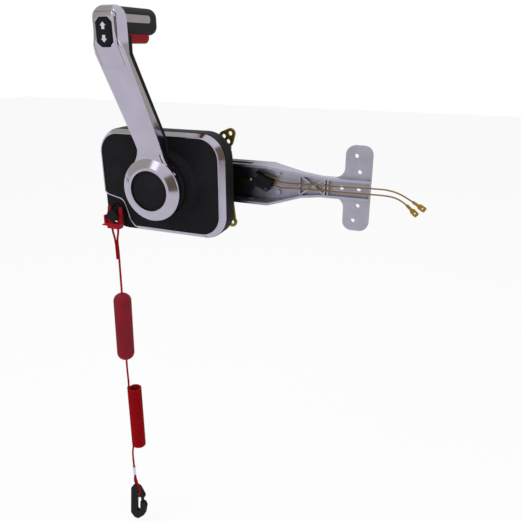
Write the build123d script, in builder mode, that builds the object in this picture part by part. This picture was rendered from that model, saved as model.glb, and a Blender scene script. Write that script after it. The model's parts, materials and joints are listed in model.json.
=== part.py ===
from build123d import *
import os
from math import acos, cos, pi, radians, sin, sqrt, tan

# Side-mount throttle and shift lever for an outboard motor, in millimetres.
# Origin: on the lever shaft, where it passes the boat's panel. +X aft, +Y into the panel, +Z up.

os.makedirs("parts", exist_ok=True)

# Running gaps
running_gap = 0.05
part_gap = 0.3
slip_gap = 0.15
arm_play = 0.2

# Housing in front of the panel
housing_width = 171.0
housing_height = 127.0
housing_depth = 20.0
housing_corner = 30.0
housing_wall = 3.0
housing_centre_x = -5.0
housing_edge_round = 2.0
gasket_thickness = 1.5

# Chrome trim round the face panel: the width of its slope on each side
trim_right = 8.0
trim_left = 2.6
trim_top = 5.6
trim_bottom = 5.2
trim_bay = 1.6
trim_rise = 3.6
trim_corner = 25.0

# Stop switch and its bay at the lower front corner of the housing, measured from that corner
switch_in = 18.5
switch_up = 19.5
bay_top_up = 53.5
bay_shoulder_in = 4.0
bay_shoulder_up = 43.0
bay_inner_in = 28.5
bay_inner_up = 37.0
bay_lower_in = 35.0
bay_lower_up = 13.5
bay_foot_in = 45.5
bay_rounds = (8.0, 11.0, 14.0)
bay_dish_radius = 13.0
bay_dish_depth = 2.0

# Lever shaft, bearings and boss
shaft_radius = 8.0
bush_wall = 2.0
bush_flange = 1.2
sleeve_radius = 14.0
boss_foot_radius = 43.0
boss_shoulder_radius = 37.5
boss_shoulder_y = -32.0
boss_step = 2.0
boss_top_radius = 33.0
boss_top_y = -39.5

# Lever hub, seen from the front as a shallow chrome cone
hub_radius = 37.1
hub_rim_y = -54.7
hub_rim_width = 6.2
hub_back_y = -41.4
hub_back_radius = 31.0
lip_outer_radius = 26.8
lip_inner_radius = 23.6
lip_y = -60.2
badge_radius = 23.4
badge_groove_radius = 21.4
badge_groove_width = 0.8
badge_groove_depth = 0.3
badge_y = -57.7
badge_thickness = 1.8
shaft_front_y = -50.0
bolt_head_radius = 6.5
bolt_head_height = 3.2
bolt_radius = 4.0
bolt_length = 24.0
bolt_seat_y = -52.2
lock_collar_radius = 40.0
lock_collar_y = -36.0
lock_notch_width = 5.0

# Lever arm, in side view a wedge that leans out from the hub
arm_tilt = 27.8
arm_front_start_z = 45.2
head_front_y = -114.0
head_back_y = -101.5
head_top_z = 193.5
arm_back_y = -42.0
arm_back_start_z = 55.6
arm_back_tilt = 32.6
arm_foot_z = 25.0
arm_neck_half_width = 16.4
arm_neck_z = 56.0
head_half_width = 18.6
head_wide_z = 160.0
head_corner = 13.0
head_top_round = 11.0
neck_flare = 34.0
neck_sink = 0.8
arm_edge_slope = 4.0
arm_wall = 3.5
inner_cover_thickness = 4.0
inner_cover_head_thickness = 5.4
inner_cover_bend_rise = 1.2

# Head cap on the front of the lever head
cap_half_width = 13.4
cap_bottom_z = 133.0
cap_bottom_bulge = 3.0
cap_top_z = 187.0
cap_thickness = 2.6

# Trim switch in the head cap
pad_z = 168.8
pad_half_width = 8.6
pad_half_height = 12.6
pad_corner = 4.6
pad_edge = 0.8
pad_proud = 1.5
pad_play = 0.9
pad_pocket_depth = 8.0
pad_thickness = 3.9
pad_pin_y = -109.4
pad_pin_radius = 1.0
pad_base_thickness = 1.2
pad_saddle_half = 3.1
pad_ear_outer_x = 7.8
pad_ear_radius = 1.9
pad_arrow_height = 6.6
pad_arrow_half = 3.4
pad_arrow_z = 5.9
pad_arrow_depth = 0.3

# Grip, reaching from the head back towards the panel
grip_end_y = -40.0
grip_half_width = 16.6
grip_bottom_z = 166.6
grip_top_z = 192.2
grip_corner = 9.0
grip_end_round = 8.0
strip_height = 7.4
strip_z = 181.4
strip_end_y = -57.5
strip_thickness = 1.8

# Neutral lock trigger under the grip, and its rod
trigger_half_width = 11.0
trigger_near_y = -95.5
trigger_far_y = -52.5
trigger_bottom_z = 158.4
trigger_top_inside = 4.0
trigger_round = 4.5
trigger_corner = 2.5
trigger_pocket_roof_z = 186.0
trigger_tang_half = 3.0
trigger_tang_front_y = -101.2
trigger_tang_thickness = 3.0
trigger_tang_bottom_z = 145.5
rod_radius = 1.3
rod_clearance = 0.7
rod_slot_drop = 6.0
rod_slot_length = 20.0
rod_foot_z = 44.0
rod_top_z = 142.0
rod_offset = 1.9
cavity_foot_z = 46.0
cavity_top_z = 150.0
guide_low_z = 64.0
guide_high_z = 118.0
guide_length = 6.0
guide_half = 4.0
guide_front = 2.8
lock_spring_radius = 3.4
lock_spring_wire = 0.6
lock_spring_turns = 5
lock_spring_y = -76.0
side_screw_y = -74.2
side_screw_z = 98.4
side_screw_radius = 2.3
side_screw_proud = 0.2
side_screw_socket = 0.8

# Base plate and its fixing holes
base_thickness = 6.0
base_gap = 1.0
mount_inset_x = 39.5
mount_inset_z = 21.5
mount_hole_radius = 3.3

# Cable bracket: a long cast channel behind the panel
channel_half = 24.0
channel_wall = 3.0
channel_corner = 8.0
floor_boss_x = 125.0
floor_boss_z = 12.0
floor_boss_radius = 3.2
channel_floor_y = 38.0
channel_floor = 3.5
channel_left_x = -38.0
channel_panel_end_x = 72.0
channel_step_x = 119.0
channel_front_y = 14.0
tail_front_y = 30.0
taper_a_x = 134.0
taper_a_half = 20.2
taper_b_x = 156.0
taper_b_half = 15.0
taper_c_x = 180.0
taper_c_half = 12.0
flange_left_x = 206.7
flange_right_x = 238.0
flange_half_height = 50.8
flange_corner = 11.0
flange_fillet = 12.0
flange_hole_radius = 2.5
flange_outer_hole_x = 219.2
flange_outer_hole_z = 38.7
flange_inner_hole_x = 223.9
flange_inner_hole_z = 20.1
floor_hole_radius = 2.6
floor_hole_near_x = 203.6
floor_hole_far_x = 223.9
rib_thickness = 2.0
rib_start_x = 153.2
rib_end_x = 184.1
rib_extra_x = 188.2
slot_left_x = 14.0
slot_right_x = 96.0
slot_front_y = 20.2
slot_back_y = 29.6
ear_x_near = -26.0
ear_x_far = 58.0
ear_z = 31.0
ear_radius = 7.5
ear_thickness = 6.0
ear_screw_radius = 2.5
ear_head_radius = 4.25
ear_head_height = 3.2
ear_head_floor = 0.8

# Gear train between the lever shaft and the two cable arms
gear_module = 2.0
tooth_tip = 0.92
tooth_root = 1.2
pivot_x = 60.0
throttle_drive_teeth = 16
throttle_arm_teeth = 44
shift_drive_teeth = 18
shift_arm_teeth = 42
gear_pressure_angle = 20.0
gear_backlash = 0.35
gear_thickness = 3.4
arm_thickness = 3.0
throttle_plane_y = 21.0
shift_plane_y = 25.6
pivot_radius = 5.0
pivot_head_radius = 8.0
pivot_head = 2.6
pivot_boss_radius = 9.0
rear_boss_radius = 13.0
boss_face_y = 30.0
sector_half_angle = 50.0
arm_hub_radius = 11.0
cable_hole_radius = 2.6
throttle_hole_a = (68.0, 58.4)
throttle_hole_b = (59.5, 54.7)
throttle_hole_c = (65.2, 48.6)
shift_hole = (66.3, -54.6)
arm_eye_radius = 6.2
arm_neck_width = 10.0

# Neutral switch in the channel
micro_length = 24.0
micro_width = 15.5
micro_height = 10.5
micro_x = 106.8
micro_z = 1.6
micro_turn = -24.0
micro_post = 3.5
micro_post_radius = 3.6
micro_screw_radius = 1.6
micro_head_radius = 2.8
lug_length = 3.0
lug_width = 3.4
lug_sink = 0.6
micro_screw_offset_x = 9.4
micro_screw_offset_z = 5.0
plunger_radius = 1.5
cam_reach = 31.5
cam_width = 8.0

# Neutral switch wires
wire_diameter = 1.8
blade_width = 6.3
blade_root = 0.4
blade_shoulder = 1.6
blade_hole_radius = 0.9
blade_length = 8.0
blade_thickness = 0.8
barrel_length = 6.5
barrel_radius = 1.7

# Stop switch, its clip and its lanyard
stop_neck_radius = 5.6
stop_head_radius = 7.6
stop_head_edge = 1.2
stop_head_front_y = -38.0
stop_head_back_y = -33.6
stop_collar_radius = 9.0
stop_collar_front_y = -28.0
stop_barrel_radius = 7.0
stop_thread_end_y = -6.0
stop_nut_thickness = 4.0
stop_travel = 5.0
clip_back_y = -28.2
clip_thickness = 5.2
clip_slope = 0.2
clip_inner = 6.1
clip_outer = 10.6
clip_leg_top = 10.0
clip_throat = 10.5
clip_foot = 17.4
clip_foot_half = 8.6
clip_front_y = -37.0
clip_hole_offset = 4.4
clip_hole_radius = 2.2
clip_window_half = 6.8
clip_window_low = 15.8
clip_window_high = 11.8
clip_window_y = -35.2
clip_tab_out = 13.8
clip_tab_thickness = 2.2
clip_tab_top_drop = 1.0
clip_tab_foot_drop = 14.6
clip_tab_tip_out = 17.6
clip_tab_front_y = -36.0
clip_tab_back_y = -30.0

cord_diameter = 2.7
lanyard_y = -33.0
float_radius = 12.0
float_round = 9.0
float_top = (-72.0, -152.5)
float_bottom = (-76.2, -259.5)
coil_top = (-67.4, -303.0)
coil_bottom = (-69.2, -405.0)
coil_radius = 9.9
coil_bore = 7.0
ferrule_strand_a = (-77.9, -39.1)
ferrule_strand_b = (-79.8, -36.9)
ferrule_top_z = -446.5
ferrule_bottom_z = -460.5
ferrule_radius = 2.05
hook_x = -78.0
hook_y = -38.0
hook_z = -516.0
hook_tilt = 6.0
hook_thickness = 6.0
hook_eye = (1.8, 22.2)
hook_eye_radius = 2.4
hook_slot = (2.4, -2.3)
hook_slot_half_width = 3.1
hook_slot_half_height = 15.1
gate_pivot = (8.0, 17.5)
gate_knuckle_radius = 3.0
gate_pin_radius = 1.0
gate_half_width = 2.2
gate_tip_z = 4.9
gate_thickness = 3.0

# Routes of the lanyard's cord, as points (x, y, z) that scene.py repeats
lanyard_upper_route = [
    (-73.7, -33.0, -104.5), (-73.4, -33.0, -90.0), (-73.8, -33.0, -76.5), (-76.4, -33.0, -66.5),
    (-76.4, -33.0, -57.6), (-67.6, -33.0, -57.6), (-67.6, -33.0, -66.5), (-70.8, -33.0, -76.5),
    (-70.4, -33.0, -90.0), (-70.7, -33.0, -104.5), (-71.2, -33.0, -122.0), (-72.0, -33.0, -152.5),
    (-76.2, -33.0, -259.5), (-76.5, -33.0, -282.0), (-75.9, -33.0, -302.7),
]
lanyard_lower_route = [
    (-77.4, -35.6, -405.0), (-79.3, -37.2, -419.0), (-77.9, -39.1, -434.0), (-77.9, -39.1, -466.0),
    (-75.8, -42.9, -477.0), (-73.9, -43.3, -494.8), (-73.9, -32.9, -494.8), (-81.8, -32.7, -487.0),
    (-81.6, -35.4, -477.5), (-79.8, -36.9, -466.0), (-79.8, -36.9, -444.5), (-79.9, -36.7, -431.5),
]

# Routes of the neutral switch wires
wire_upper_route = [
    (108.4, 31.0, 10.2), (119.8, 31.0, 7.0), (129.0, 31.0, 2.2), (144.0, 31.0, 1.6),
    (200.0, 31.0, 2.9), (256.0, 31.0, 4.4), (270.0, 31.0, 2.0), (283.0, 31.0, -4.3), (293.0, 31.0, -10.2),
]
wire_lower_route = [
    (120.6, 31.0, -1.8), (129.4, 31.0, -5.4), (138.6, 31.0, -4.3), (153.0, 31.0, -4.0),
    (203.0, 31.0, -3.5), (254.0, 31.0, -2.6), (268.0, 31.0, -3.8), (279.0, 31.0, -9.4), (286.0, 31.0, -15.6),
]


def front_plane(y):
    """A sketch plane that faces the viewer, at depth y: extruding goes towards the viewer."""
    return Plane.XZ.offset(-y)


def finish(part, label):
    """Labels a piece and writes it out."""
    part.label = label
    export_step(part, "parts/" + label + ".step")


housing_left_x = housing_centre_x - housing_width / 2
housing_foot_z = -housing_height / 2
switch_x = housing_left_x + switch_in
switch_z = housing_foot_z + switch_up


def bay_corners(inset):
    """The corners of the stop switch bay's edge, moved into the face panel by inset."""
    return [
        (housing_left_x - 1, housing_foot_z + bay_top_up + inset),
        (housing_left_x + bay_shoulder_in, housing_foot_z + bay_shoulder_up + inset),
        (housing_left_x + bay_inner_in + 0.8 * inset, housing_foot_z + bay_inner_up + inset),
        (housing_left_x + bay_lower_in + inset, housing_foot_z + bay_lower_up),
        (housing_left_x + bay_foot_in + inset, housing_foot_z - 1 + inset),
    ]


def front_outline(left, right, top, bottom, corner, inset):
    """The face outline with each side moved in, and the stop switch bay taken out of its corner."""
    x0 = housing_left_x + left
    x1 = housing_centre_x + housing_width / 2 - right
    z0 = housing_foot_z + bottom
    z1 = housing_height / 2 - top
    with Locations(((x0 + x1) / 2, (z0 + z1) / 2)):
        RectangleRounded(x1 - x0, z1 - z0, corner)
    points = bay_corners(inset)
    far = (points[0][0] - housing_depth, points[-1][1] - housing_depth)
    with BuildLine() as edge:
        FilletPolyline(*points, radius=bay_rounds)
        Polyline(points[-1], (points[-1][0], far[1]), far, (far[0], points[0][1]), points[0])
    make_face(edge.edges(), mode=Mode.SUBTRACT)


# Housing: a moulded shell, open towards the panel
front_rim_y = -housing_depth
with BuildPart() as housing:
    with BuildSketch(front_plane(-gasket_thickness)):
        with Locations((housing_centre_x, 0)):
            RectangleRounded(housing_width, housing_height, housing_corner)
    extrude(amount=housing_depth - gasket_thickness)
    fillet(housing.faces().sort_by(Axis.Y)[0].edges(), housing_edge_round)
    with BuildSketch(front_plane(-gasket_thickness)):
        with Locations((housing_centre_x, 0)):
            RectangleRounded(
                housing_width - 2 * housing_wall,
                housing_height - 2 * housing_wall,
                housing_corner - housing_wall,
            )
    extrude(amount=housing_depth - gasket_thickness - housing_wall, mode=Mode.SUBTRACT)
    # The dish and the seat of the stop switch
    with BuildSketch(front_plane(front_rim_y + housing_wall)):
        with Locations((switch_x, switch_z)):
            Circle(bay_dish_radius + housing_wall)
    extrude(amount=-bay_dish_depth)
    with BuildSketch(front_plane(front_rim_y + bay_dish_depth)):
        with Locations((switch_x, switch_z)):
            Circle(bay_dish_radius)
    extrude(amount=bay_dish_depth, mode=Mode.SUBTRACT)
    with BuildSketch(front_plane(0)):
        with Locations((switch_x, switch_z)):
            Circle(stop_barrel_radius + slip_gap)
        Circle(sleeve_radius + part_gap)
    extrude(amount=2 * housing_depth, mode=Mode.SUBTRACT)
finish(housing.part, "housing")

# Gasket between the housing and the panel
with BuildPart() as panel_gasket:
    with BuildSketch(front_plane(0)):
        with Locations((housing_centre_x, 0)):
            RectangleRounded(housing_width, housing_height, housing_corner)
            RectangleRounded(
                housing_width - 2 * housing_wall,
                housing_height - 2 * housing_wall,
                housing_corner - housing_wall,
                mode=Mode.SUBTRACT,
            )
    extrude(amount=gasket_thickness)
finish(panel_gasket.part, "panel_gasket")

# Chrome trim: a sloped frame that follows the housing and swings in round the stop switch bay
trim_inset = 0.4
face_y = front_rim_y - trim_rise
with BuildPart() as trim_frame:
    with BuildSketch(front_plane(front_rim_y)):
        front_outline(trim_inset, trim_inset, trim_inset, trim_inset, housing_corner - trim_inset, 0)
    with BuildSketch(front_plane(face_y)):
        front_outline(trim_left, trim_right, trim_top, trim_bottom, trim_corner, trim_bay)
    loft(ruled=True)
    with BuildSketch(front_plane(front_rim_y)):
        front_outline(trim_left, trim_right, trim_top, trim_bottom, trim_corner, trim_bay)
    extrude(amount=2 * trim_rise, mode=Mode.SUBTRACT)
finish(trim_frame.part, "trim_frame")

# Face panel inside the trim, with the boss that the lever turns on
panel_y = face_y + 0.4
with BuildPart() as face_panel:
    with BuildSketch(front_plane(front_rim_y)):
        front_outline(
            trim_left + slip_gap, trim_right + slip_gap, trim_top + slip_gap, trim_bottom + slip_gap,
            trim_corner, trim_bay + slip_gap,
        )
    extrude(amount=front_rim_y - panel_y)
    with BuildSketch(Plane.XY):
        with BuildLine():
            Polyline(
                (sleeve_radius, front_rim_y),
                (boss_foot_radius, front_rim_y),
                (boss_foot_radius, panel_y),
                (boss_shoulder_radius, boss_shoulder_y),
                (boss_shoulder_radius - boss_step, boss_shoulder_y),
                (boss_top_radius, boss_top_y),
                (sleeve_radius, boss_top_y),
                close=True,
            )
        make_face()
    revolve(axis=Axis.Y)
    with BuildSketch(front_plane(0)):
        Circle(sleeve_radius + part_gap)
    extrude(amount=3 * housing_depth, mode=Mode.SUBTRACT)
finish(face_panel.part, "face_panel")

# Base plate: cast, screwed to the boat's panel, with the long sleeve that carries the shaft
mount_reach_x = housing_width / 2 - mount_inset_x
mount_reach_z = housing_height / 2 - mount_inset_z
mount_points = [(housing_centre_x + i * mount_reach_x, j * mount_reach_z) for i in (-1, 1) for j in (-1, 1)]
ear_points = [(x, j * ear_z) for x in (ear_x_near, ear_x_far) for j in (-1, 1)]
base_width = housing_width - 2 * housing_wall - 2 * base_gap
base_height = housing_height - 2 * housing_wall - 2 * base_gap
with BuildPart() as base_plate:
    with BuildSketch(front_plane(0)):
        with Locations((housing_centre_x, 0)):
            RectangleRounded(base_width, base_height, housing_corner - housing_wall - base_gap)
        with Locations((switch_x, switch_z)):
            Circle(bay_dish_radius, mode=Mode.SUBTRACT)
    extrude(amount=base_thickness)
    with BuildSketch(front_plane(-base_thickness)):
        Circle(sleeve_radius)
        with Locations(*mount_points):
            Circle(2 * mount_hole_radius)
    extrude(amount=2)
    with BuildSketch(front_plane(-base_thickness)):
        Circle(sleeve_radius)
    extrude(amount=-boss_top_y - base_thickness)
    with BuildSketch(front_plane(0)):
        Circle(shaft_radius + bush_wall)
        with Locations(*mount_points):
            Circle(mount_hole_radius)
        with Locations(*ear_points):
            Circle(ear_screw_radius)
    extrude(amount=3 * housing_depth, mode=Mode.SUBTRACT)
    fillet(base_plate.edges().filter_by(GeomType.CIRCLE).group_by(Axis.Y)[0].sort_by(SortBy.RADIUS)[-1], 1.0)
finish(base_plate.part, "base_plate")

# Front and rear shaft bushes
with BuildPart() as shaft_bush_front:
    with BuildSketch(front_plane(-2)):
        Circle(shaft_radius + bush_wall)
        Circle(shaft_radius + running_gap, mode=Mode.SUBTRACT)
    extrude(amount=-boss_top_y - 2)
    with BuildSketch(front_plane(boss_top_y)):
        Circle(sleeve_radius - bush_flange)
        Circle(shaft_radius + running_gap, mode=Mode.SUBTRACT)
    extrude(amount=bush_flange)
finish(shaft_bush_front.part, "shaft_bush_front")

with BuildPart() as shaft_bush_rear:
    with BuildSketch(front_plane(channel_floor_y + channel_floor)):
        Circle(shaft_radius + bush_wall)
        Circle(shaft_radius + running_gap, mode=Mode.SUBTRACT)
    extrude(amount=channel_floor_y + channel_floor - boss_face_y)
finish(shaft_bush_rear.part, "shaft_bush_rear")


def channel_outline(inset):
    """The channel seen from the front, from behind the housing to the flange."""
    end = flange_right_x
    top = [
        (channel_left_x + inset, channel_half - inset),
        (channel_step_x, channel_half - inset),
        (taper_a_x, taper_a_half - inset),
        (taper_b_x, taper_b_half - inset),
        (taper_c_x, taper_c_half - inset),
        (end - 0.2 * inset, taper_c_half - inset),
    ]
    return top + [(x, -z) for x, z in reversed(top)]


# Cable bracket: a die-cast channel with slots for the arms, cross ribs and the clamp flange
channel_back_y = channel_floor_y + channel_floor
with BuildPart() as cable_bracket:
    with BuildSketch(front_plane(channel_back_y)):
        Polygon(*channel_outline(0), align=None)
        fillet([v for v in vertices() if v.X < channel_left_x + 1], channel_corner)
    extrude(amount=channel_back_y)
    with BuildSketch(front_plane(channel_floor_y)):
        Polygon(*channel_outline(channel_wall), align=None)
        inner_corner = channel_corner - channel_wall
        fillet([v for v in vertices() if v.X < channel_left_x + channel_wall + 1], inner_corner)
    extrude(amount=channel_floor_y + 1, mode=Mode.SUBTRACT)
    # The walls step back in side view: behind the panel, then along the tail
    with BuildSketch(Plane.XY):
        with BuildLine():
            Polyline(
                (channel_panel_end_x, -1),
                (channel_panel_end_x, channel_front_y),
                (channel_step_x, channel_front_y),
                (taper_a_x, (channel_front_y + tail_front_y) / 2 - 3),
                (taper_b_x, tail_front_y),
                (flange_right_x + 1, tail_front_y + 2),
                (flange_right_x + 1, -1),
                close=True,
            )
        make_face()
    extrude(amount=2 * channel_half, both=True, mode=Mode.SUBTRACT)
    # Slots that the cable arms swing through
    with Locations(((slot_left_x + slot_right_x) / 2, (slot_front_y + slot_back_y) / 2, 0)):
        Box(slot_right_x - slot_left_x, slot_back_y - slot_front_y, 3 * channel_half, mode=Mode.SUBTRACT)
    # Clamp flange
    with BuildSketch(front_plane(channel_back_y)):
        with Locations(((flange_left_x + flange_right_x) / 2, 0)):
            RectangleRounded(flange_right_x - flange_left_x, 2 * flange_half_height, flange_corner)
        Polygon(
            (taper_c_x + 2, taper_c_half), (flange_left_x + 2, taper_c_half),
            (flange_left_x + 2, -taper_c_half), (taper_c_x + 2, -taper_c_half), align=None,
        )
        fillet(
            [v for v in vertices() if abs(v.X - flange_left_x) < 0.1 and abs(abs(v.Y) - taper_c_half) < 0.1],
            flange_fillet,
        )
    extrude(amount=channel_floor)
    # Cross ribs on the floor of the tail
    rib_half = taper_b_half - channel_wall + 0.5
    rib_end_half = taper_c_half - 2
    with BuildSketch(front_plane(channel_floor_y)):
        for sign in (-1, 1):
            with BuildLine():
                Line((rib_start_x, -sign * rib_half), (rib_end_x, sign * (taper_c_half - channel_wall + 0.5)))
            trace(line_width=rib_thickness)
        for x, half in ((rib_start_x, rib_half), (rib_end_x, rib_end_half), (rib_extra_x, rib_end_half)):
            with Locations((x, 0)):
                Rectangle(rib_thickness, 2 * half)
    extrude(amount=channel_floor_y - tail_front_y - 3)
    # Bosses for the lever shaft, the arm pivot and the neutral switch
    with BuildSketch(front_plane(channel_floor_y)):
        Circle(rear_boss_radius)
        with Locations((pivot_x, 0)):
            Circle(pivot_boss_radius)
    extrude(amount=channel_floor_y - boss_face_y)
    with BuildSketch(front_plane(channel_floor_y)):
        with Locations(Location((micro_x, micro_z), micro_turn)):
            with Locations(
                (-micro_screw_offset_x, micro_screw_offset_z), (micro_screw_offset_x, -micro_screw_offset_z)
            ):
                Circle(micro_post_radius)
        with Locations((floor_boss_x, floor_boss_z), (floor_boss_x, -floor_boss_z)):
            Circle(floor_boss_radius)
    extrude(amount=micro_post)
    # Ears that the base plate is screwed to
    with BuildSketch(front_plane(ear_thickness)):
        for x, z in ear_points:
            side = 1 if z > 0 else -1
            with Locations((x, z)):
                Circle(ear_radius)
            with Locations((x, side * (channel_half + ear_z) / 2 - side * 1.5)):
                Rectangle(2 * ear_radius, abs(z) - channel_half + 3)
    extrude(amount=ear_thickness)
    # Bores, screw holes and clamp holes
    with BuildSketch(front_plane(channel_back_y)):
        Circle(shaft_radius + bush_wall)
        with Locations((pivot_x, 0)):
            Circle(pivot_radius)
        with Locations(*[(flange_outer_hole_x, s * flange_outer_hole_z) for s in (-1, 1)]):
            Circle(flange_hole_radius)
        with Locations(*[(flange_inner_hole_x, s * flange_inner_hole_z) for s in (-1, 1)]):
            Circle(flange_hole_radius)
        with Locations((floor_hole_near_x, 0), (floor_hole_far_x, 0)):
            Circle(floor_hole_radius)
        with Locations(Location((micro_x, micro_z), micro_turn)):
            with Locations(
                (-micro_screw_offset_x, micro_screw_offset_z), (micro_screw_offset_x, -micro_screw_offset_z)
            ):
                Circle(micro_screw_radius)
    extrude(amount=channel_back_y - 10, mode=Mode.SUBTRACT)
    with BuildSketch(front_plane(ear_thickness + 1)):
        with Locations(*ear_points):
            Circle(ear_screw_radius)
    extrude(amount=ear_thickness + 2, mode=Mode.SUBTRACT)
finish(cable_bracket.part, "cable_bracket")


def turned_pin(stations):
    """A turned pin about the Y axis, from (radius, y) stations along its outside."""
    first_y = stations[0][1]
    last_y = stations[-1][1]
    with BuildSketch(Plane.XY) as profile:
        with BuildLine():
            Polyline((0, first_y), *stations, (0, last_y), close=True)
        make_face()
    revolve(profile.sketch, axis=Axis.Y)


# Lever shaft, with a groove for its snap ring
shaft_end_y = 46.0
groove_width = 1.2
groove_y = channel_back_y + 3.0
groove_radius = shaft_radius - 1
with BuildPart() as main_shaft:
    turned_pin(
        [
            (shaft_radius, shaft_front_y),
            (shaft_radius, groove_y - groove_width),
            (groove_radius, groove_y - groove_width),
            (groove_radius, groove_y),
            (shaft_radius, groove_y),
            (shaft_radius, shaft_end_y),
        ]
    )
    with BuildSketch(front_plane(bolt_seat_y + bolt_length)):
        Circle(bolt_radius)
    extrude(amount=bolt_length, mode=Mode.SUBTRACT)
finish(main_shaft.part, "main_shaft")

# Snap ring behind the rear bush
clip_ring_width = 3.0
clip_ring_opening = 5.0
with BuildPart() as shaft_clip:
    with BuildSketch(front_plane(groove_y)):
        Circle(shaft_radius + clip_ring_width)
        Circle(groove_radius, mode=Mode.SUBTRACT)
        with Locations((0, -shaft_radius - 2)):
            Rectangle(clip_ring_opening, shaft_radius, mode=Mode.SUBTRACT)
    extrude(amount=groove_width)
finish(shaft_clip.part, "shaft_clip")


def gear_outline(teeth, first, count, backlash):
    """Outline points of count teeth of a gear about the origin, counted from tooth number first."""
    pitch = gear_module * teeth / 2
    base = pitch * cos(radians(gear_pressure_angle))
    tip = pitch + gear_module * tooth_tip
    root = pitch - gear_module * tooth_root
    roll = tan(radians(gear_pressure_angle)) - radians(gear_pressure_angle)
    half_pitch_angle = (pi * gear_module / 2 - backlash) / pitch / 2
    points = []
    for number in range(first, first + count):
        middle = 2 * pi * number / teeth
        flank = []
        for radius in (max(base, root + 0.1), pitch - 0.3 * gear_module, pitch + 0.35 * gear_module, tip):
            radius = max(radius, base)
            angle = acos(min(1.0, base / radius))
            flank.append((radius, half_pitch_angle + roll - (tan(angle) - angle)))
        flank.insert(0, (root, flank[0][1]))
        for radius, angle in flank:
            points.append((radius * cos(middle - angle), radius * sin(middle - angle)))
        for radius, angle in reversed(flank):
            points.append((radius * cos(middle + angle), radius * sin(middle + angle)))
    return points


def drive_gear(teeth, y):
    """A whole drive gear on the lever shaft. A tooth gap faces the arm pivot when its count is even."""
    turn = 180.0 / teeth
    turned_x = (cos(radians(turn)), 0, sin(radians(turn)))
    with BuildSketch(Plane((0, y, 0), x_dir=turned_x, z_dir=(0, -1, 0))) as blank:
        Polygon(*gear_outline(teeth, 0, teeth, gear_backlash), align=None)
        Circle(shaft_radius, mode=Mode.SUBTRACT)
    extrude(blank.sketch, amount=gear_thickness)


with BuildPart() as throttle_drive_gear:
    drive_gear(throttle_drive_teeth, throttle_plane_y + gear_thickness)
finish(throttle_drive_gear.part, "throttle_drive_gear")

with BuildPart() as shift_drive_gear:
    drive_gear(shift_drive_teeth, shift_plane_y + gear_thickness)
finish(shift_drive_gear.part, "shift_drive_gear")


def sector_outline(teeth):
    """Outline of the toothed sector that faces the lever shaft, about the pivot."""
    half_count = int(sector_half_angle / (360.0 / teeth))
    middle = teeth // 2
    points = gear_outline(teeth, middle - half_count, 2 * half_count + 1, gear_backlash)
    return [(pivot_x + x, z) for x, z in points] + [(pivot_x, 0)]


def cable_arm(y, teeth, eyes, cam):
    """A stamped arm: toothed sector, hub, neck and a rounded end round its cable holes."""
    corners = list(eyes)
    with BuildSketch(front_plane(y + arm_thickness)) as blank:
        Polygon(*sector_outline(teeth), align=None)
        with Locations((pivot_x, 0)):
            Circle(arm_hub_radius)
        middle = (sum(e[0] for e in corners) / len(corners), sum(e[1] for e in corners) / len(corners))
        with BuildLine():
            Line((pivot_x, 0), middle)
        trace(line_width=arm_neck_width)
        with Locations(*corners):
            Circle(arm_eye_radius)
        if len(corners) > 2:
            Polygon(*corners, align=None)
            for a, b in ((0, 1), (1, 2), (2, 0)):
                with BuildLine():
                    Line(corners[a], corners[b])
                trace(line_width=2 * arm_eye_radius)
        if cam:
            with Locations((pivot_x + cam_reach / 2, 0)):
                Rectangle(cam_reach, cam_width)
        with Locations(*corners):
            Circle(cable_hole_radius, mode=Mode.SUBTRACT)
        with Locations((pivot_x, 0)):
            Circle(pivot_radius + running_gap, mode=Mode.SUBTRACT)
    extrude(blank.sketch, amount=arm_thickness)


with BuildPart() as throttle_arm:
    throttle_holes = [throttle_hole_a, throttle_hole_b, throttle_hole_c]
    cable_arm(throttle_plane_y, throttle_arm_teeth, throttle_holes, False)
finish(throttle_arm.part, "throttle_arm")

with BuildPart() as shift_arm:
    cable_arm(shift_plane_y, shift_arm_teeth, [shift_hole], True)
finish(shift_arm.part, "shift_arm")


# Arm pivot: a headed pin held in the bracket's boss
with BuildPart() as pivot_pin:
    turned_pin(
        [
            (pivot_head_radius, throttle_plane_y - arm_play - pivot_head),
            (pivot_head_radius, throttle_plane_y - arm_play),
            (pivot_radius, throttle_plane_y - arm_play),
            (pivot_radius, channel_back_y),
        ]
    )
finish(pivot_pin.part.moved(Location((pivot_x, 0, 0))), "pivot_pin")

with BuildPart() as pivot_spacer:
    with BuildSketch(front_plane(shift_plane_y - arm_play)):
        with Locations((pivot_x, 0)):
            Circle(pivot_head_radius)
            Circle(pivot_radius + running_gap, mode=Mode.SUBTRACT)
    extrude(amount=shift_plane_y - throttle_plane_y - arm_thickness - 2 * arm_play)
finish(pivot_spacer.part, "pivot_spacer")


# Lever arm geometry in side view
def back_line_y(z, push=0.0):
    """Depth of the arm's sloping back at height z, moved out by push."""
    slope = tan(radians(arm_back_tilt))
    return arm_back_y + push / cos(radians(arm_back_tilt)) - slope * (z - arm_back_start_z)


def front_line_y(z, push=0.0):
    """Depth of the arm's sloping front at height z, moved in by push."""
    slope = tan(radians(arm_tilt))
    return hub_rim_y + push / cos(radians(arm_tilt)) - slope * (z - arm_front_start_z)


head_bend_z = arm_front_start_z + (hub_rim_y - head_front_y) / tan(radians(arm_tilt))
back_bend_z = arm_back_start_z + (arm_back_y - head_back_y) / tan(radians(arm_back_tilt))


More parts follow.
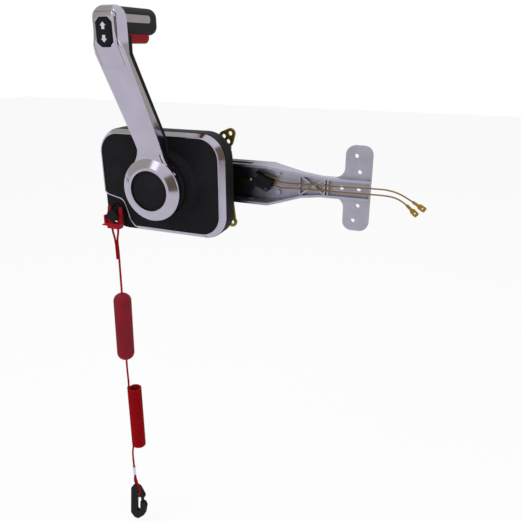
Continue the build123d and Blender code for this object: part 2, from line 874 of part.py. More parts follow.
def arm_side(push):
    """The arm in side view, with its front moved back by push."""
    with BuildSketch(Plane.YZ) as side:
        with BuildLine() as edge:
            Polyline(
                (arm_back_y + push, arm_foot_z), (hub_rim_y + push, arm_foot_z),
                (hub_rim_y + push, arm_front_start_z), (head_front_y + push, head_bend_z),
                (head_front_y + push, head_top_z), (head_back_y + push, head_top_z),
                (head_back_y + push, back_bend_z), (arm_back_y + push, arm_back_start_z),
                close=True,
            )
        make_face(edge.edges())
        fillet(side.vertices().group_by(Axis.Y)[-1].sort_by(Axis.X)[0], head_top_round)
    return side.sketch


def arm_half_width(z):
    """Half width of the arm in front view, which grows steadily from the neck to the head."""
    share = (z - arm_neck_z) / (head_wide_z - arm_neck_z)
    return arm_neck_half_width + share * (head_half_width - arm_neck_half_width)


def arm_front():
    """The arm and hub in front view, with the neck flared into the hub."""
    with BuildSketch(front_plane(0)) as outline:
        Circle(hub_radius - neck_sink)
        Polygon(
            (-arm_half_width(0), 0), (arm_half_width(0), 0),
            (head_half_width, head_wide_z), (head_half_width, head_top_z),
            (-head_half_width, head_top_z), (-head_half_width, head_wide_z),
            align=None,
        )
        side_height = head_top_z - head_wide_z
        fillet([v for v in vertices() if v.Y > head_top_z - 1], min(head_corner, 0.9 * side_height))
        fillet([v for v in vertices() if 20 < v.Y < hub_radius], neck_flare)
    return outline.sketch


def cap_outline(grow):
    """The head cap in front view: straight sides and a bulged foot."""
    half = cap_half_width + grow
    foot = cap_bottom_z - grow
    top = cap_top_z + grow
    with BuildSketch(front_plane(0)) as outline:
        Polygon(
            (0, foot), (half, foot + cap_bottom_bulge), (half, top),
            (-half, top), (-half, foot + cap_bottom_bulge),
            align=None,
        )
        fillet([v for v in vertices() if v.Y < cap_bottom_z + cap_bottom_bulge + 1 and abs(v.X) > 1], 3.0)
        fillet([v for v in vertices() if v.Y > cap_top_z - 1], 4.0)
        fillet([v for v in vertices() if abs(v.X) < 1], 2 * cap_half_width)
    return outline.sketch


def pad_outline(grow_x, grow_z):
    """The trim switch pad in front view: an upright octagon."""
    half_x = pad_half_width + grow_x
    half_z = pad_half_height + grow_z
    with BuildSketch(front_plane(head_front_y + pad_pocket_depth)) as outline:
        with Locations((0, pad_z)):
            Rectangle(2 * half_x, 2 * half_z)
        chamfer(outline.vertices(), pad_corner)
    return outline.sketch


def slope_edge(start, end):
    """Cuts a slope along the straight edge from start to end."""
    side = arm_edge_slope * sqrt(2)
    with BuildSketch(Plane(start, x_dir=(1, 0, 0), z_dir=Vector(end) - Vector(start))) as square:
        Rectangle(side, side, rotation=45)
    extrude(square.sketch, amount=(Vector(end) - Vector(start)).length, mode=Mode.SUBTRACT)


# The arm's outer form, without its hub
edge_foot_z = arm_front_start_z + 1
with BuildPart() as arm_blank:
    extrude(arm_side(0), amount=2 * hub_radius, both=True)
    extrude(arm_front(), amount=-2 * head_front_y, mode=Mode.INTERSECT)
    for side in (-1, 1):
        foot = (side * arm_half_width(edge_foot_z), front_line_y(edge_foot_z), edge_foot_z)
        bend = (side * arm_half_width(head_bend_z), head_front_y, head_bend_z)
        brow = (side * head_half_width, head_front_y, head_wide_z)
        slope_edge(foot, bend)
        slope_edge(brow, (side * head_half_width, head_front_y, head_top_z))

# The hollow at the arm's back that holds the lock rod
with BuildPart() as rod_cavity:
    with BuildSketch(Plane.YZ):
        Polygon(
            (arm_back_y + 2, cavity_foot_z),
            (front_line_y(cavity_foot_z, arm_wall), cavity_foot_z),
            (front_line_y(cavity_top_z, arm_wall), cavity_top_z),
            (head_back_y + 2, cavity_top_z),
            (head_back_y + 2, back_bend_z),
            (arm_back_y + 2, arm_back_start_z),
            align=None,
        )
    extrude(amount=2 * head_half_width, both=True)
    with BuildSketch(front_plane(0)):
        Polygon(
            (arm_wall - arm_half_width(cavity_foot_z), cavity_foot_z),
            (arm_half_width(cavity_foot_z) - arm_wall, cavity_foot_z),
            (arm_half_width(cavity_top_z) - arm_wall, cavity_top_z),
            (arm_wall - arm_half_width(cavity_top_z), cavity_top_z),
            align=None,
        )
    extrude(amount=-2 * head_front_y, mode=Mode.INTERSECT)

# The seat that the head cap is let into
with BuildPart() as cap_seat:
    extrude(cap_outline(slip_gap), amount=-2 * head_front_y)
    extrude(arm_side(cap_thickness), amount=2 * head_half_width, both=True, mode=Mode.SUBTRACT)
    with BuildSketch(front_plane(0)):
        Rectangle(6 * head_half_width, 3 * head_top_z)
    extrude(amount=-head_back_y, mode=Mode.SUBTRACT)

# Lever arm: a chromed casting, hollow at the back, with the hub at its foot
with BuildPart() as lever_arm:
    add(arm_blank.part)
    # Hub: rim, cone, lip and the seats of the badge and the bolt
    with BuildSketch(Plane.XY):
        with BuildLine():
            Polyline(
                (shaft_radius, hub_back_y), (hub_back_radius, hub_back_y),
                (hub_radius, hub_rim_y + hub_rim_width),
                (hub_radius, hub_rim_y), (lip_outer_radius, lip_y), (lip_inner_radius, lip_y),
                (lip_inner_radius, badge_y + badge_thickness),
                (bolt_head_radius + 2, badge_y + badge_thickness),
                (bolt_head_radius + 2, bolt_seat_y), (bolt_radius + slip_gap, bolt_seat_y),
                (bolt_radius + slip_gap, shaft_front_y), (shaft_radius, shaft_front_y), close=True,
            )
        make_face()
    revolve(axis=Axis.Y)
    # The hollow, the cap's seat, the trim switch's pocket and the side screw's hole
    add(rod_cavity.part, mode=Mode.SUBTRACT)
    add(cap_seat.part, mode=Mode.SUBTRACT)
    extrude(pad_outline(pad_play, pad_play), amount=2 * pad_pocket_depth, mode=Mode.SUBTRACT)
    with BuildSketch(Plane.YZ.offset(arm_half_width(side_screw_z) - side_screw_radius / 2)):
        with Locations((side_screw_y, side_screw_z)):
            Circle(side_screw_radius + slip_gap)
    extrude(amount=side_screw_radius, mode=Mode.SUBTRACT)
    with BuildSketch(Plane.YZ):
        with Locations((side_screw_y, side_screw_z)):
            Circle(side_screw_radius / 2)
    extrude(amount=head_half_width, mode=Mode.SUBTRACT)
finish(lever_arm.part, "lever_arm")

# Head cap: the chromed front shell of the head, set in flush with a fine seam
with BuildPart() as head_cap:
    add(arm_blank.part)
    extrude(arm_side(cap_thickness), amount=2 * head_half_width, both=True, mode=Mode.SUBTRACT)
    with BuildSketch(front_plane(0)):
        Rectangle(6 * head_half_width, 3 * head_top_z)
        add(cap_outline(0), mode=Mode.SUBTRACT)
    extrude(amount=-2 * head_front_y, mode=Mode.SUBTRACT)
    with BuildSketch(front_plane(0)):
        Rectangle(6 * head_half_width, 3 * head_top_z)
    extrude(amount=-head_back_y, mode=Mode.SUBTRACT)
    extrude(pad_outline(pad_play, pad_play), amount=2 * pad_pocket_depth, mode=Mode.SUBTRACT)
finish(head_cap.part, "head_cap")

# Switch plate at the foot of the pocket, with the saddle that carries the rocker's pin
plate_front_y = head_front_y + pad_pocket_depth - pad_base_thickness
with BuildPart() as trim_switch_base:
    extrude(pad_outline(pad_play - slip_gap, pad_play - slip_gap), amount=pad_base_thickness)
    with BuildSketch(Plane.YZ):
        with Locations((pad_pin_y, pad_z)):
            Circle(pad_ear_radius)
        with Locations(((pad_pin_y + plate_front_y) / 2, pad_z)):
            Rectangle(plate_front_y - pad_pin_y, 2 * pad_ear_radius)
    extrude(amount=pad_saddle_half, both=True)
    with BuildSketch(Plane.YZ):
        with Locations((pad_pin_y, pad_z)):
            Circle(pad_pin_radius)
    extrude(amount=pad_saddle_half, both=True, mode=Mode.SUBTRACT)
finish(trim_switch_base.part, "trim_switch_base")

with BuildPart() as trim_pin:
    with BuildSketch(Plane.YZ):
        with Locations((pad_pin_y, pad_z)):
            Circle(pad_pin_radius)
    extrude(amount=pad_ear_outer_x, both=True)
finish(trim_pin.part, "trim_pin")

# Trim rocker: the octagonal pad with an up and a down arrow, on two ears
pad_front_y = head_front_y - pad_proud
pad_back_y = pad_front_y + pad_thickness
with BuildPart() as trim_rocker:
    with BuildSketch(front_plane(pad_back_y)) as pad_face:
        with Locations((0, pad_z)):
            Rectangle(2 * pad_half_width, 2 * pad_half_height)
        chamfer(pad_face.vertices(), pad_corner)
    extrude(amount=pad_thickness)
    chamfer(trim_rocker.faces().sort_by(Axis.Y)[0].edges(), pad_edge)
    with BuildSketch(front_plane(pad_front_y)):
        for side in (-1, 1):
            foot = pad_z + side * (pad_arrow_z - pad_arrow_height / 2)
            barb = foot + side * pad_arrow_height / 2
            tip = foot + side * pad_arrow_height
            stem = pad_arrow_half / 2
            Polygon(
                (-stem, foot), (stem, foot), (stem, barb), (pad_arrow_half, barb),
                (0, tip), (-pad_arrow_half, barb), (-stem, barb), align=None,
            )
    extrude(amount=-pad_arrow_depth, mode=Mode.SUBTRACT)
    with BuildSketch(Plane.YZ):
        with Locations((pad_pin_y, pad_z)):
            Circle(pad_ear_radius)
        with Locations(((pad_pin_y + pad_back_y) / 2, pad_z)):
            Rectangle(pad_pin_y - pad_back_y, 2 * pad_ear_radius)
    extrude(amount=pad_ear_outer_x, both=True)
    with BuildSketch(Plane.YZ):
        with Locations(((pad_pin_y + pad_back_y) / 2 + pad_ear_radius, pad_z)):
            Rectangle(pad_pin_y - pad_back_y + 2 * pad_ear_radius, 2 * pad_ear_radius + 1)
    extrude(amount=pad_saddle_half + part_gap, both=True, mode=Mode.SUBTRACT)
    with BuildSketch(Plane.YZ):
        with Locations((pad_pin_y, pad_z)):
            Circle(pad_pin_radius + running_gap)
    extrude(amount=pad_ear_outer_x, both=True, mode=Mode.SUBTRACT)
finish(trim_rocker.part, "trim_rocker")

# Inner cover: the black strip on the arm's back, with two guides for the lock rod
rod_direction = (0, -sin(radians(arm_back_tilt)), cos(radians(arm_back_tilt)))


def rod_plane(z):
    """A plane across the lock rod at height z, its local y pointing at the inner cover."""
    return Plane((0, back_line_y(z, -rod_offset), z), x_dir=(1, 0, 0), z_dir=rod_direction)


rod_length = (rod_top_z - rod_foot_z) / cos(radians(arm_back_tilt))
grip_slot_half = trigger_tang_half + part_gap
with BuildPart() as inner_cover:
    with BuildSketch(Plane.YZ):
        Polygon(
            (arm_back_y, cavity_foot_z - 4), (arm_back_y, arm_back_start_z), (head_back_y, back_bend_z),
            (head_back_y, grip_bottom_z - part_gap),
            (head_back_y + inner_cover_head_thickness, grip_bottom_z - part_gap),
            (head_back_y + inner_cover_head_thickness, back_bend_z + inner_cover_bend_rise),
            (arm_back_y + inner_cover_thickness, arm_back_start_z + inner_cover_bend_rise),
            (arm_back_y + inner_cover_thickness, cavity_foot_z - 4),
            align=None,
        )
    extrude(amount=2 * head_half_width, both=True)
    extrude(arm_front(), amount=-2 * head_front_y, mode=Mode.INTERSECT)
    for z in (guide_low_z, guide_high_z):
        with BuildSketch(rod_plane(z)):
            with Locations((0, (rod_offset - guide_front) / 2 + 0.5)):
                Rectangle(2 * guide_half, rod_offset + guide_front + 1)
        extrude(amount=guide_length)
    with BuildSketch(rod_plane(rod_foot_z)):
        Circle(rod_radius + running_gap)
    extrude(amount=rod_length + guide_length, mode=Mode.SUBTRACT)
    # Slots for the rod's foot and for the trigger's tang
    with BuildSketch(front_plane(0)):
        with Locations((0, arm_back_start_z - rod_slot_drop)):
            Rectangle(2 * (rod_radius + rod_clearance), rod_slot_length)
        with Locations((0, (trigger_tang_bottom_z - 1 + grip_bottom_z) / 2)):
            Rectangle(2 * grip_slot_half, grip_bottom_z - trigger_tang_bottom_z + 1)
    extrude(amount=-2 * head_front_y, mode=Mode.SUBTRACT)
finish(inner_cover.part, "inner_cover")

# Lock rod: a plain rod beside the inner cover
with BuildPart() as lock_rod:
    with BuildSketch(rod_plane(rod_foot_z)):
        Circle(rod_radius)
    extrude(amount=rod_length)
finish(lock_rod.part, "lock_rod")

# Neutral lock ring on the boss, with its notch at the top
with BuildPart() as lock_collar:
    with BuildSketch(front_plane(boss_shoulder_y)):
        Circle(lock_collar_radius)
        Circle(boss_shoulder_radius - boss_step, mode=Mode.SUBTRACT)
        with Locations((0, lock_collar_radius)):
            Rectangle(lock_notch_width, lock_notch_width, mode=Mode.SUBTRACT)
    extrude(amount=boss_shoulder_y - lock_collar_y)
finish(lock_collar.part, "lock_collar")

# Grip: a hollow moulding that reaches from the head back towards the panel
grip_z = (grip_top_z + grip_bottom_z) / 2
grip_height = grip_top_z - grip_bottom_z
strip_root_x = grip_half_width - strip_thickness
with BuildPart() as grip_body:
    with BuildSketch(front_plane(grip_end_y)):
        with Locations((0, grip_z)):
            RectangleRounded(2 * grip_half_width, grip_height, grip_corner)
    extrude(amount=grip_end_y - head_back_y)
    fillet(grip_body.faces().sort_by(Axis.Y)[-1].edges(), grip_end_round)
    # Pocket of the lock trigger
    pocket_near_y = trigger_near_y - 1
    pocket_far_y = trigger_far_y + 2 * part_gap
    with BuildSketch(Plane.XY.offset(trigger_pocket_roof_z)):
        with Locations((0, (pocket_near_y + pocket_far_y) / 2)):
            Rectangle(2 * (trigger_half_width + part_gap), pocket_far_y - pocket_near_y)
    extrude(amount=-grip_height, mode=Mode.SUBTRACT)
    # Seats of the two side strips
    for side in (-1, 1):
        with BuildSketch(Plane.YZ.offset(side * grip_half_width)):
            with Locations(((head_back_y + strip_end_y) / 2 - strip_height / 2, strip_z)):
                SlotOverall(strip_end_y - head_back_y + strip_height, strip_height)
        extrude(amount=-side * strip_thickness, mode=Mode.SUBTRACT)
finish(grip_body.part, "grip_body")

for side, name in ((-1, "grip_strip_left"), (1, "grip_strip_right")):
    with BuildPart() as grip_strip:
        with BuildSketch(Plane.YZ.offset(side * strip_root_x)):
            with Locations(((head_back_y + strip_end_y) / 2 - strip_height / 2, strip_z)):
                SlotOverall(strip_end_y - head_back_y + strip_height, strip_height)
            with Locations((head_back_y - strip_height, strip_z)):
                Rectangle(2 * strip_height, 2 * strip_height, mode=Mode.SUBTRACT)
        extrude(amount=side * (strip_thickness + part_gap))
    finish(grip_strip.part, name)

# Lock trigger: the squeeze bar under the grip, with a tang that reaches down behind the arm
tang_top_z = trigger_bottom_z + trigger_tang_thickness - 0.1
with BuildPart() as lock_trigger:
    with BuildSketch(Plane.YZ):
        Polygon(
            (trigger_near_y, trigger_bottom_z), (trigger_far_y - trigger_round, trigger_bottom_z),
            (trigger_far_y, trigger_bottom_z + trigger_round),
            (trigger_far_y, grip_bottom_z + trigger_top_inside),
            (trigger_near_y, grip_bottom_z + trigger_top_inside), align=None,
        )
    extrude(amount=trigger_half_width, both=True)
    fillet(lock_trigger.faces().sort_by(Axis.Z)[0].edges().filter_by(Axis.Y), trigger_corner)
    with BuildSketch(Plane.YZ):
        Polygon(
            (trigger_near_y + 1, trigger_bottom_z), (trigger_near_y + 1, tang_top_z),
            (trigger_tang_front_y, tang_top_z),
            (trigger_tang_front_y, trigger_tang_bottom_z),
            (trigger_tang_front_y + trigger_tang_thickness, trigger_tang_bottom_z),
            (trigger_tang_front_y + trigger_tang_thickness, trigger_bottom_z), align=None,
        )
    extrude(amount=trigger_tang_half, both=True)
finish(lock_trigger.part, "lock_trigger")

# Spring of the lock trigger, between the bar and the roof of its pocket
spring_foot_z = grip_bottom_z + trigger_top_inside + lock_spring_wire
spring_height = trigger_pocket_roof_z - lock_spring_wire - spring_foot_z
with BuildPart() as lock_spring:
    with BuildLine(Plane.XY.offset(spring_foot_z)) as coil_line:
        Helix(spring_height / lock_spring_turns, spring_height, lock_spring_radius)
    with BuildSketch(Plane(coil_line.line @ 0, z_dir=coil_line.line % 0)) as wire_section:
        RegularPolygon(lock_spring_wire, 6)
    sweep(wire_section.sketch, path=coil_line.line)
finish(lock_spring.part.moved(Location((0, lock_spring_y, 0))), "lock_spring")

# Hub badge: a bare disc, with the lever bolt under it
with BuildPart() as hub_badge:
    with BuildSketch(front_plane(badge_y + badge_thickness)):
        Circle(badge_radius)
    extrude(amount=badge_thickness)
    with BuildSketch(front_plane(badge_y)):
        Circle(badge_groove_radius)
        Circle(badge_groove_radius - badge_groove_width, mode=Mode.SUBTRACT)
    extrude(amount=-badge_groove_depth, mode=Mode.SUBTRACT)
finish(hub_badge.part, "hub_badge")

with BuildPart() as lever_bolt:
    turned_pin(
        [
            (bolt_head_radius, bolt_seat_y - bolt_head_height), (bolt_head_radius, bolt_seat_y),
            (bolt_radius, bolt_seat_y), (bolt_radius, bolt_seat_y + bolt_length),
        ]
    )
    with BuildSketch(front_plane(bolt_seat_y - bolt_head_height)):
        RegularPolygon(bolt_head_radius / 2, 6)
    extrude(amount=-bolt_head_height / 2, mode=Mode.SUBTRACT)
finish(lever_bolt.part, "lever_bolt")

with BuildPart() as side_screw:
    head_root_x = arm_half_width(side_screw_z) - side_screw_radius / 2
    head_height = side_screw_radius / 2 + side_screw_proud
    with BuildSketch(Plane.YZ.offset(head_root_x)):
        with Locations((side_screw_y, side_screw_z)):
            Circle(side_screw_radius)
    extrude(amount=head_height)
    with BuildSketch(Plane.YZ.offset(head_root_x)):
        with Locations((side_screw_y, side_screw_z)):
            Circle(side_screw_radius / 2)
    extrude(amount=-arm_wall)
    with BuildSketch(Plane.YZ.offset(head_root_x + head_height)):
        with Locations((side_screw_y, side_screw_z)):
            RegularPolygon(side_screw_radius / 2, 6)
    extrude(amount=-side_screw_socket, mode=Mode.SUBTRACT)
finish(side_screw.part, "side_screw")

# Screws that join the bracket's ears to the base plate
with BuildPart() as base_screws:
    with BuildSketch(front_plane(ear_thickness)):
        with Locations(*ear_points):
            Circle(ear_screw_radius)
    extrude(amount=ear_thickness + base_thickness)
    with BuildSketch(front_plane(ear_thickness + ear_head_height)):
        with Locations(*ear_points):
            Circle(ear_head_radius)
            RegularPolygon(ear_screw_radius, 6, mode=Mode.SUBTRACT)
    extrude(amount=ear_head_height - ear_head_floor)
    with BuildSketch(front_plane(ear_thickness + ear_head_floor)):
        with Locations(*ear_points):
            Circle(ear_head_radius)
    extrude(amount=ear_head_floor)
finish(base_screws.part, "base_screws")

# Neutral switch: a micro-switch on two posts, with two solder lugs
micro_front_y = channel_floor_y - micro_post - micro_height
micro_place = Location((micro_x, micro_z), micro_turn)
screw_offsets = [(-micro_screw_offset_x, micro_screw_offset_z), (micro_screw_offset_x, -micro_screw_offset_z)]
plunger_y = shift_plane_y + arm_thickness / 2
plunger_z = 3.0
with BuildPart() as micro_switch:
    with BuildSketch(front_plane(channel_floor_y - micro_post)):
        with Locations(micro_place):
            RectangleRounded(micro_length, micro_width, 1.0)
            with Locations(*screw_offsets):
                Circle(micro_screw_radius, mode=Mode.SUBTRACT)
    extrude(amount=micro_height)
    with BuildSketch(front_plane(wire_upper_route[0][1] + wire_diameter)):
        with Locations((wire_upper_route[0][0] - lug_length / 2, wire_upper_route[0][2] - lug_sink)):
            Rectangle(lug_length, lug_width)
        with Locations((wire_lower_route[0][0] - lug_length / 2, wire_lower_route[0][2])):
            Rectangle(lug_length, lug_width)
    extrude(amount=2 * wire_diameter)
    with BuildSketch(Plane.YZ.offset(pivot_x + cam_reach)):
        with Locations((plunger_y, plunger_z)):
            Circle(plunger_radius + running_gap)
    extrude(amount=micro_length / 2 + 3, mode=Mode.SUBTRACT)
finish(micro_switch.part, "micro_switch")

with BuildPart() as switch_plunger:
    with BuildSketch(Plane.YZ.offset(pivot_x + cam_reach + part_gap)):
        with Locations((plunger_y, plunger_z)):
            Circle(plunger_radius)
    extrude(amount=micro_length / 2)
finish(switch_plunger.part, "switch_plunger")

with BuildPart() as switch_screws:
    with BuildSketch(front_plane(channel_floor_y)):
        with Locations(micro_place):
            with Locations(*screw_offsets):
                Circle(micro_screw_radius)
    extrude(amount=micro_post + micro_height)
    with BuildSketch(front_plane(micro_front_y)):
        with Locations(micro_place):
            with Locations(*screw_offsets):
                Circle(micro_head_radius)
    extrude(amount=micro_screw_radius)
finish(switch_screws.part, "switch_screws")


def bend_radii(points):
    """The largest smooth radius at each corner of a route."""
    radii = []
    for a, b, c in zip(points, points[1:], points[2:]):
        before = Vector(b) - Vector(a)
        after = Vector(c) - Vector(b)
        half_turn = radians(before.get_angle(after)) / 2
        radii.append(0.45 * min(before.length, after.length) / tan(half_turn))
    return radii


def report_cord(name, points, part, diameter):
    """Prints the bend radii of a cord, and its volume beside its section times its length."""
    runs = [(Vector(b) - Vector(a)).length for a, b in zip(points, points[1:])]
    print(name, "runs", [round(run, 1) for run in runs], "radii", [round(r, 1) for r in bend_radii(points)])
    print(name, "volume", round(part.volume), "length", round(part.volume / (pi * diameter**2 / 4), 1))


# Wires of the neutral switch
with BuildPart() as wire_upper:
    with BuildLine() as upper_line:
        FilletPolyline(*wire_upper_route, radius=bend_radii(wire_upper_route))
    with BuildSketch(Plane(upper_line.line @ 0, z_dir=upper_line.line % 0)) as upper_section:
        Circle(wire_diameter / 2)
    sweep(upper_section.sketch, path=upper_line.line)
finish(wire_upper.part, "wire_upper")
report_cord("wire_upper", wire_upper_route, wire_upper.part, wire_diameter)

with BuildPart() as wire_lower:
    with BuildLine() as lower_line:
        FilletPolyline(*wire_lower_route, radius=bend_radii(wire_lower_route))
    with BuildSketch(Plane(lower_line.line @ 0, z_dir=lower_line.line % 0)) as lower_section:
        Circle(wire_diameter / 2)
    sweep(lower_section.sketch, path=lower_line.line)
finish(wire_lower.part, "wire_lower")
report_cord("wire_lower", wire_lower_route, wire_lower.part, wire_diameter)


def blade_terminal(route):
    """A crimped blade terminal on the end of a wire, along the wire's last run."""
    end = Vector(route[-1])
    along = (end - Vector(route[-2])).normalized()
    flat = Plane(end, x_dir=along, z_dir=(0, -1, 0))
    across = Plane(end, x_dir=(0, -1, 0), z_dir=along)
    with BuildSketch(across.offset(-barrel_length)) as barrel:
        Circle(barrel_radius)
    extrude(barrel.sketch, amount=barrel_length + 1)
    with BuildSketch(across) as bore:
        Circle(wire_diameter / 2)
    extrude(bore.sketch, amount=-barrel_length, mode=Mode.SUBTRACT)
    with BuildSketch(flat) as blade:
        half = blade_width / 2
        tip = blade_shoulder + blade_length
        Polygon(
            (blade_root, -barrel_radius), (blade_shoulder + blade_root + 0.5, -half), (tip, -half),
            (tip + 1, 1 - half), (tip + 1, half - 1),
            (tip, half), (blade_shoulder + blade_root + 0.5, half), (blade_root, barrel_radius), align=None,
        )
        with Locations((blade_shoulder + blade_length / 2 + 1, 0)):
            Circle(blade_hole_radius, mode=Mode.SUBTRACT)
    extrude(blade.sketch, amount=blade_thickness / 2, both=True)


with BuildPart() as terminal_upper:
    blade_terminal(wire_upper_route)
finish(terminal_upper.part, "terminal_upper")

with BuildPart() as terminal_lower:
    blade_terminal(wire_lower_route)
finish(terminal_lower.part, "terminal_lower")

# Stop switch: body through the housing, nut behind it and the button in front
switch_seat_y = front_rim_y + bay_dish_depth
stop_bore = stop_neck_radius + running_gap
stop_stem_y = switch_seat_y + housing_wall
with BuildPart() as stop_switch_body:
    with BuildSketch(front_plane(stop_thread_end_y)):
        with Locations((switch_x, switch_z)):
            Circle(stop_barrel_radius)
    extrude(amount=stop_thread_end_y - stop_collar_front_y)
    with BuildSketch(front_plane(switch_seat_y)):
        with Locations((switch_x, switch_z)):
            Circle(stop_collar_radius)
    extrude(amount=switch_seat_y - stop_collar_front_y)
    with BuildSketch(front_plane(stop_stem_y + stop_travel + 1)):
        with Locations((switch_x, switch_z)):
            Circle(stop_bore)
    extrude(amount=housing_depth + stop_travel, mode=Mode.SUBTRACT)
finish(stop_switch_body.part, "stop_switch_body")

with BuildPart() as stop_switch_nut:
    with BuildSketch(front_plane(stop_stem_y + stop_nut_thickness)):
        with Locations((switch_x, switch_z)):
            RegularPolygon(stop_barrel_radius + stop_nut_thickness, 6)
            Circle(stop_barrel_radius, mode=Mode.SUBTRACT)
    extrude(amount=stop_nut_thickness)
finish(stop_switch_nut.part, "stop_switch_nut")

with BuildPart() as stop_button:
    with BuildSketch(front_plane(stop_stem_y)):
        with Locations((switch_x, switch_z)):
            Circle(stop_neck_radius)
    extrude(amount=stop_stem_y - stop_head_back_y)
    with BuildSketch(front_plane(stop_head_back_y)):
        with Locations((switch_x, switch_z)):
            Circle(stop_head_radius)
    extrude(amount=stop_head_back_y - stop_head_front_y)
    fillet(stop_button.faces().sort_by(Axis.Y)[0].edges(), stop_head_edge)
finish(stop_button.part, "stop_button")

# Kill clip: a fork that slopes, so that pulling it down lets the button in
clip_low_z = switch_z - clip_foot
clip_tab_x = switch_x - clip_tab_out
clip_tab_tip_x = switch_x - clip_tab_tip_out
clip_tab_top_z = switch_z - clip_tab_top_drop
clip_tab_foot_z = switch_z - clip_tab_foot_drop
with BuildPart() as kill_clip:
    with BuildSketch(front_plane(clip_back_y)):
        with Locations((switch_x, switch_z)):
            Polygon(
                (-clip_outer, clip_leg_top), (-clip_inner, clip_leg_top), (-clip_inner, 0), (clip_inner, 0),
                (clip_inner, clip_leg_top), (clip_outer, clip_leg_top), (clip_outer, -clip_throat),
                (clip_foot_half, -clip_foot), (-clip_foot_half, -clip_foot), (-clip_outer, -clip_throat),
                align=None,
            )
            SlotCenterPoint((0, 0), (0, clip_inner - clip_throat), 2 * clip_inner, mode=Mode.SUBTRACT)
    extrude(amount=clip_back_y - clip_front_y)
    # Sloping front of the fork, then the raised foot below it
    with BuildSketch(Plane.YZ.offset(switch_x)):
        Polygon(
            (clip_back_y - clip_thickness, switch_z - clip_throat),
            (clip_back_y - clip_thickness, switch_z - stop_head_radius),
            (
                clip_back_y - clip_thickness + clip_slope * (2 * clip_leg_top + stop_head_radius),
                switch_z + 2 * clip_leg_top,
            ),
            (2 * clip_front_y, switch_z + 2 * clip_leg_top), (2 * clip_front_y, switch_z - clip_throat),
            align=None,
        )
    extrude(amount=4 * clip_outer, both=True, mode=Mode.SUBTRACT)
    # Holes and inner window for the cord's loop
    with BuildSketch(Plane.XY.offset(clip_low_z)):
        with Locations((switch_x - clip_hole_offset, lanyard_y), (switch_x + clip_hole_offset, lanyard_y)):
            Circle(clip_hole_radius)
    extrude(amount=clip_foot - clip_window_low + 1, mode=Mode.SUBTRACT)
    with BuildSketch(front_plane(clip_back_y)):
        with Locations((switch_x, switch_z - (clip_window_low + clip_window_high) / 2)):
            Rectangle(2 * clip_window_half, clip_window_low - clip_window_high)
    extrude(amount=clip_back_y - clip_window_y, mode=Mode.SUBTRACT)
    # Side tab
    with BuildSketch(front_plane(clip_tab_back_y)):
        Polygon(
            (clip_tab_x, clip_tab_top_z), (clip_tab_x + clip_tab_thickness, clip_tab_top_z),
            (clip_tab_x + clip_tab_thickness, clip_tab_foot_z + clip_tab_thickness),
            (switch_x - clip_foot_half - 1, clip_tab_foot_z + clip_tab_thickness),
            (switch_x - clip_foot_half + 1, clip_tab_foot_z),
            (clip_tab_tip_x, clip_tab_foot_z), (clip_tab_tip_x, clip_tab_foot_z + clip_tab_thickness / 2),
            (clip_tab_x, clip_tab_foot_z + clip_tab_thickness), align=None,
        )
    extrude(amount=clip_tab_back_y - clip_tab_front_y)
finish(kill_clip.part, "kill_clip")


# Lanyard: one cord through the clip and the float, a curly stretch, and a doubled end on the hook
with BuildPart() as lanyard_upper:
    with BuildLine() as cord_line:
        FilletPolyline(*lanyard_upper_route, radius=bend_radii(lanyard_upper_route))
    with BuildSketch(Plane(cord_line.line @ 0, z_dir=cord_line.line % 0)) as cord_section:
        Circle(cord_diameter / 2)
    sweep(cord_section.sketch, path=cord_line.line)
finish(lanyard_upper.part, "lanyard_upper")
report_cord("lanyard_upper", lanyard_upper_route, lanyard_upper.part, cord_diameter)

coil_start = Vector(coil_top[0], lanyard_y, coil_top[1])
coil_run = Vector(coil_bottom[0], lanyard_y, coil_bottom[1]) - coil_start
with BuildPart() as lanyard_coil:
    with BuildSketch(Plane(coil_start, z_dir=coil_run)):
        Circle(coil_radius)
        Circle(coil_bore, mode=Mode.SUBTRACT)
    extrude(amount=coil_run.length)
finish(lanyard_coil.part, "lanyard_coil")

with BuildPart() as lanyard_lower:
    with BuildLine() as end_line:
        FilletPolyline(*lanyard_lower_route, radius=bend_radii(lanyard_lower_route))
    with BuildSketch(Plane(end_line.line @ 0, z_dir=end_line.line % 0)) as end_section:
        Circle(cord_diameter / 2)
    sweep(end_section.sketch, path=end_line.line)
finish(lanyard_lower.part, "lanyard_lower")
report_cord("lanyard_lower", lanyard_lower_route, lanyard_lower.part, cord_diameter)

float_start = Vector(float_top[0], lanyard_y, float_top[1])
float_run = Vector(float_bottom[0], lanyard_y, float_bottom[1]) - float_start
with BuildPart() as lanyard_float:
    with BuildSketch(Plane(float_start, z_dir=float_run)):
        Circle(float_radius)
    extrude(amount=float_run.length)
    fillet(lanyard_float.edges().filter_by(GeomType.CIRCLE), float_round)
    with BuildSketch(Plane(float_start, z_dir=float_run)):
        Circle(cord_diameter / 2 + part_gap)
    extrude(amount=float_run.length, mode=Mode.SUBTRACT)
finish(lanyard_float.part, "lanyard_float")

with BuildPart() as lanyard_ferrule:
    with BuildSketch(Plane.XY.offset(ferrule_bottom_z)):
        with BuildLine():
            spine = Line(ferrule_strand_a, ferrule_strand_b)
        SlotCenterPoint(spine @ 0.5, spine @ 1, 2 * ferrule_radius)
        with Locations(ferrule_strand_a, ferrule_strand_b):
            Circle(cord_diameter / 2, mode=Mode.SUBTRACT)
    extrude(amount=ferrule_top_z - ferrule_bottom_z)
finish(lanyard_ferrule.part, "lanyard_ferrule")

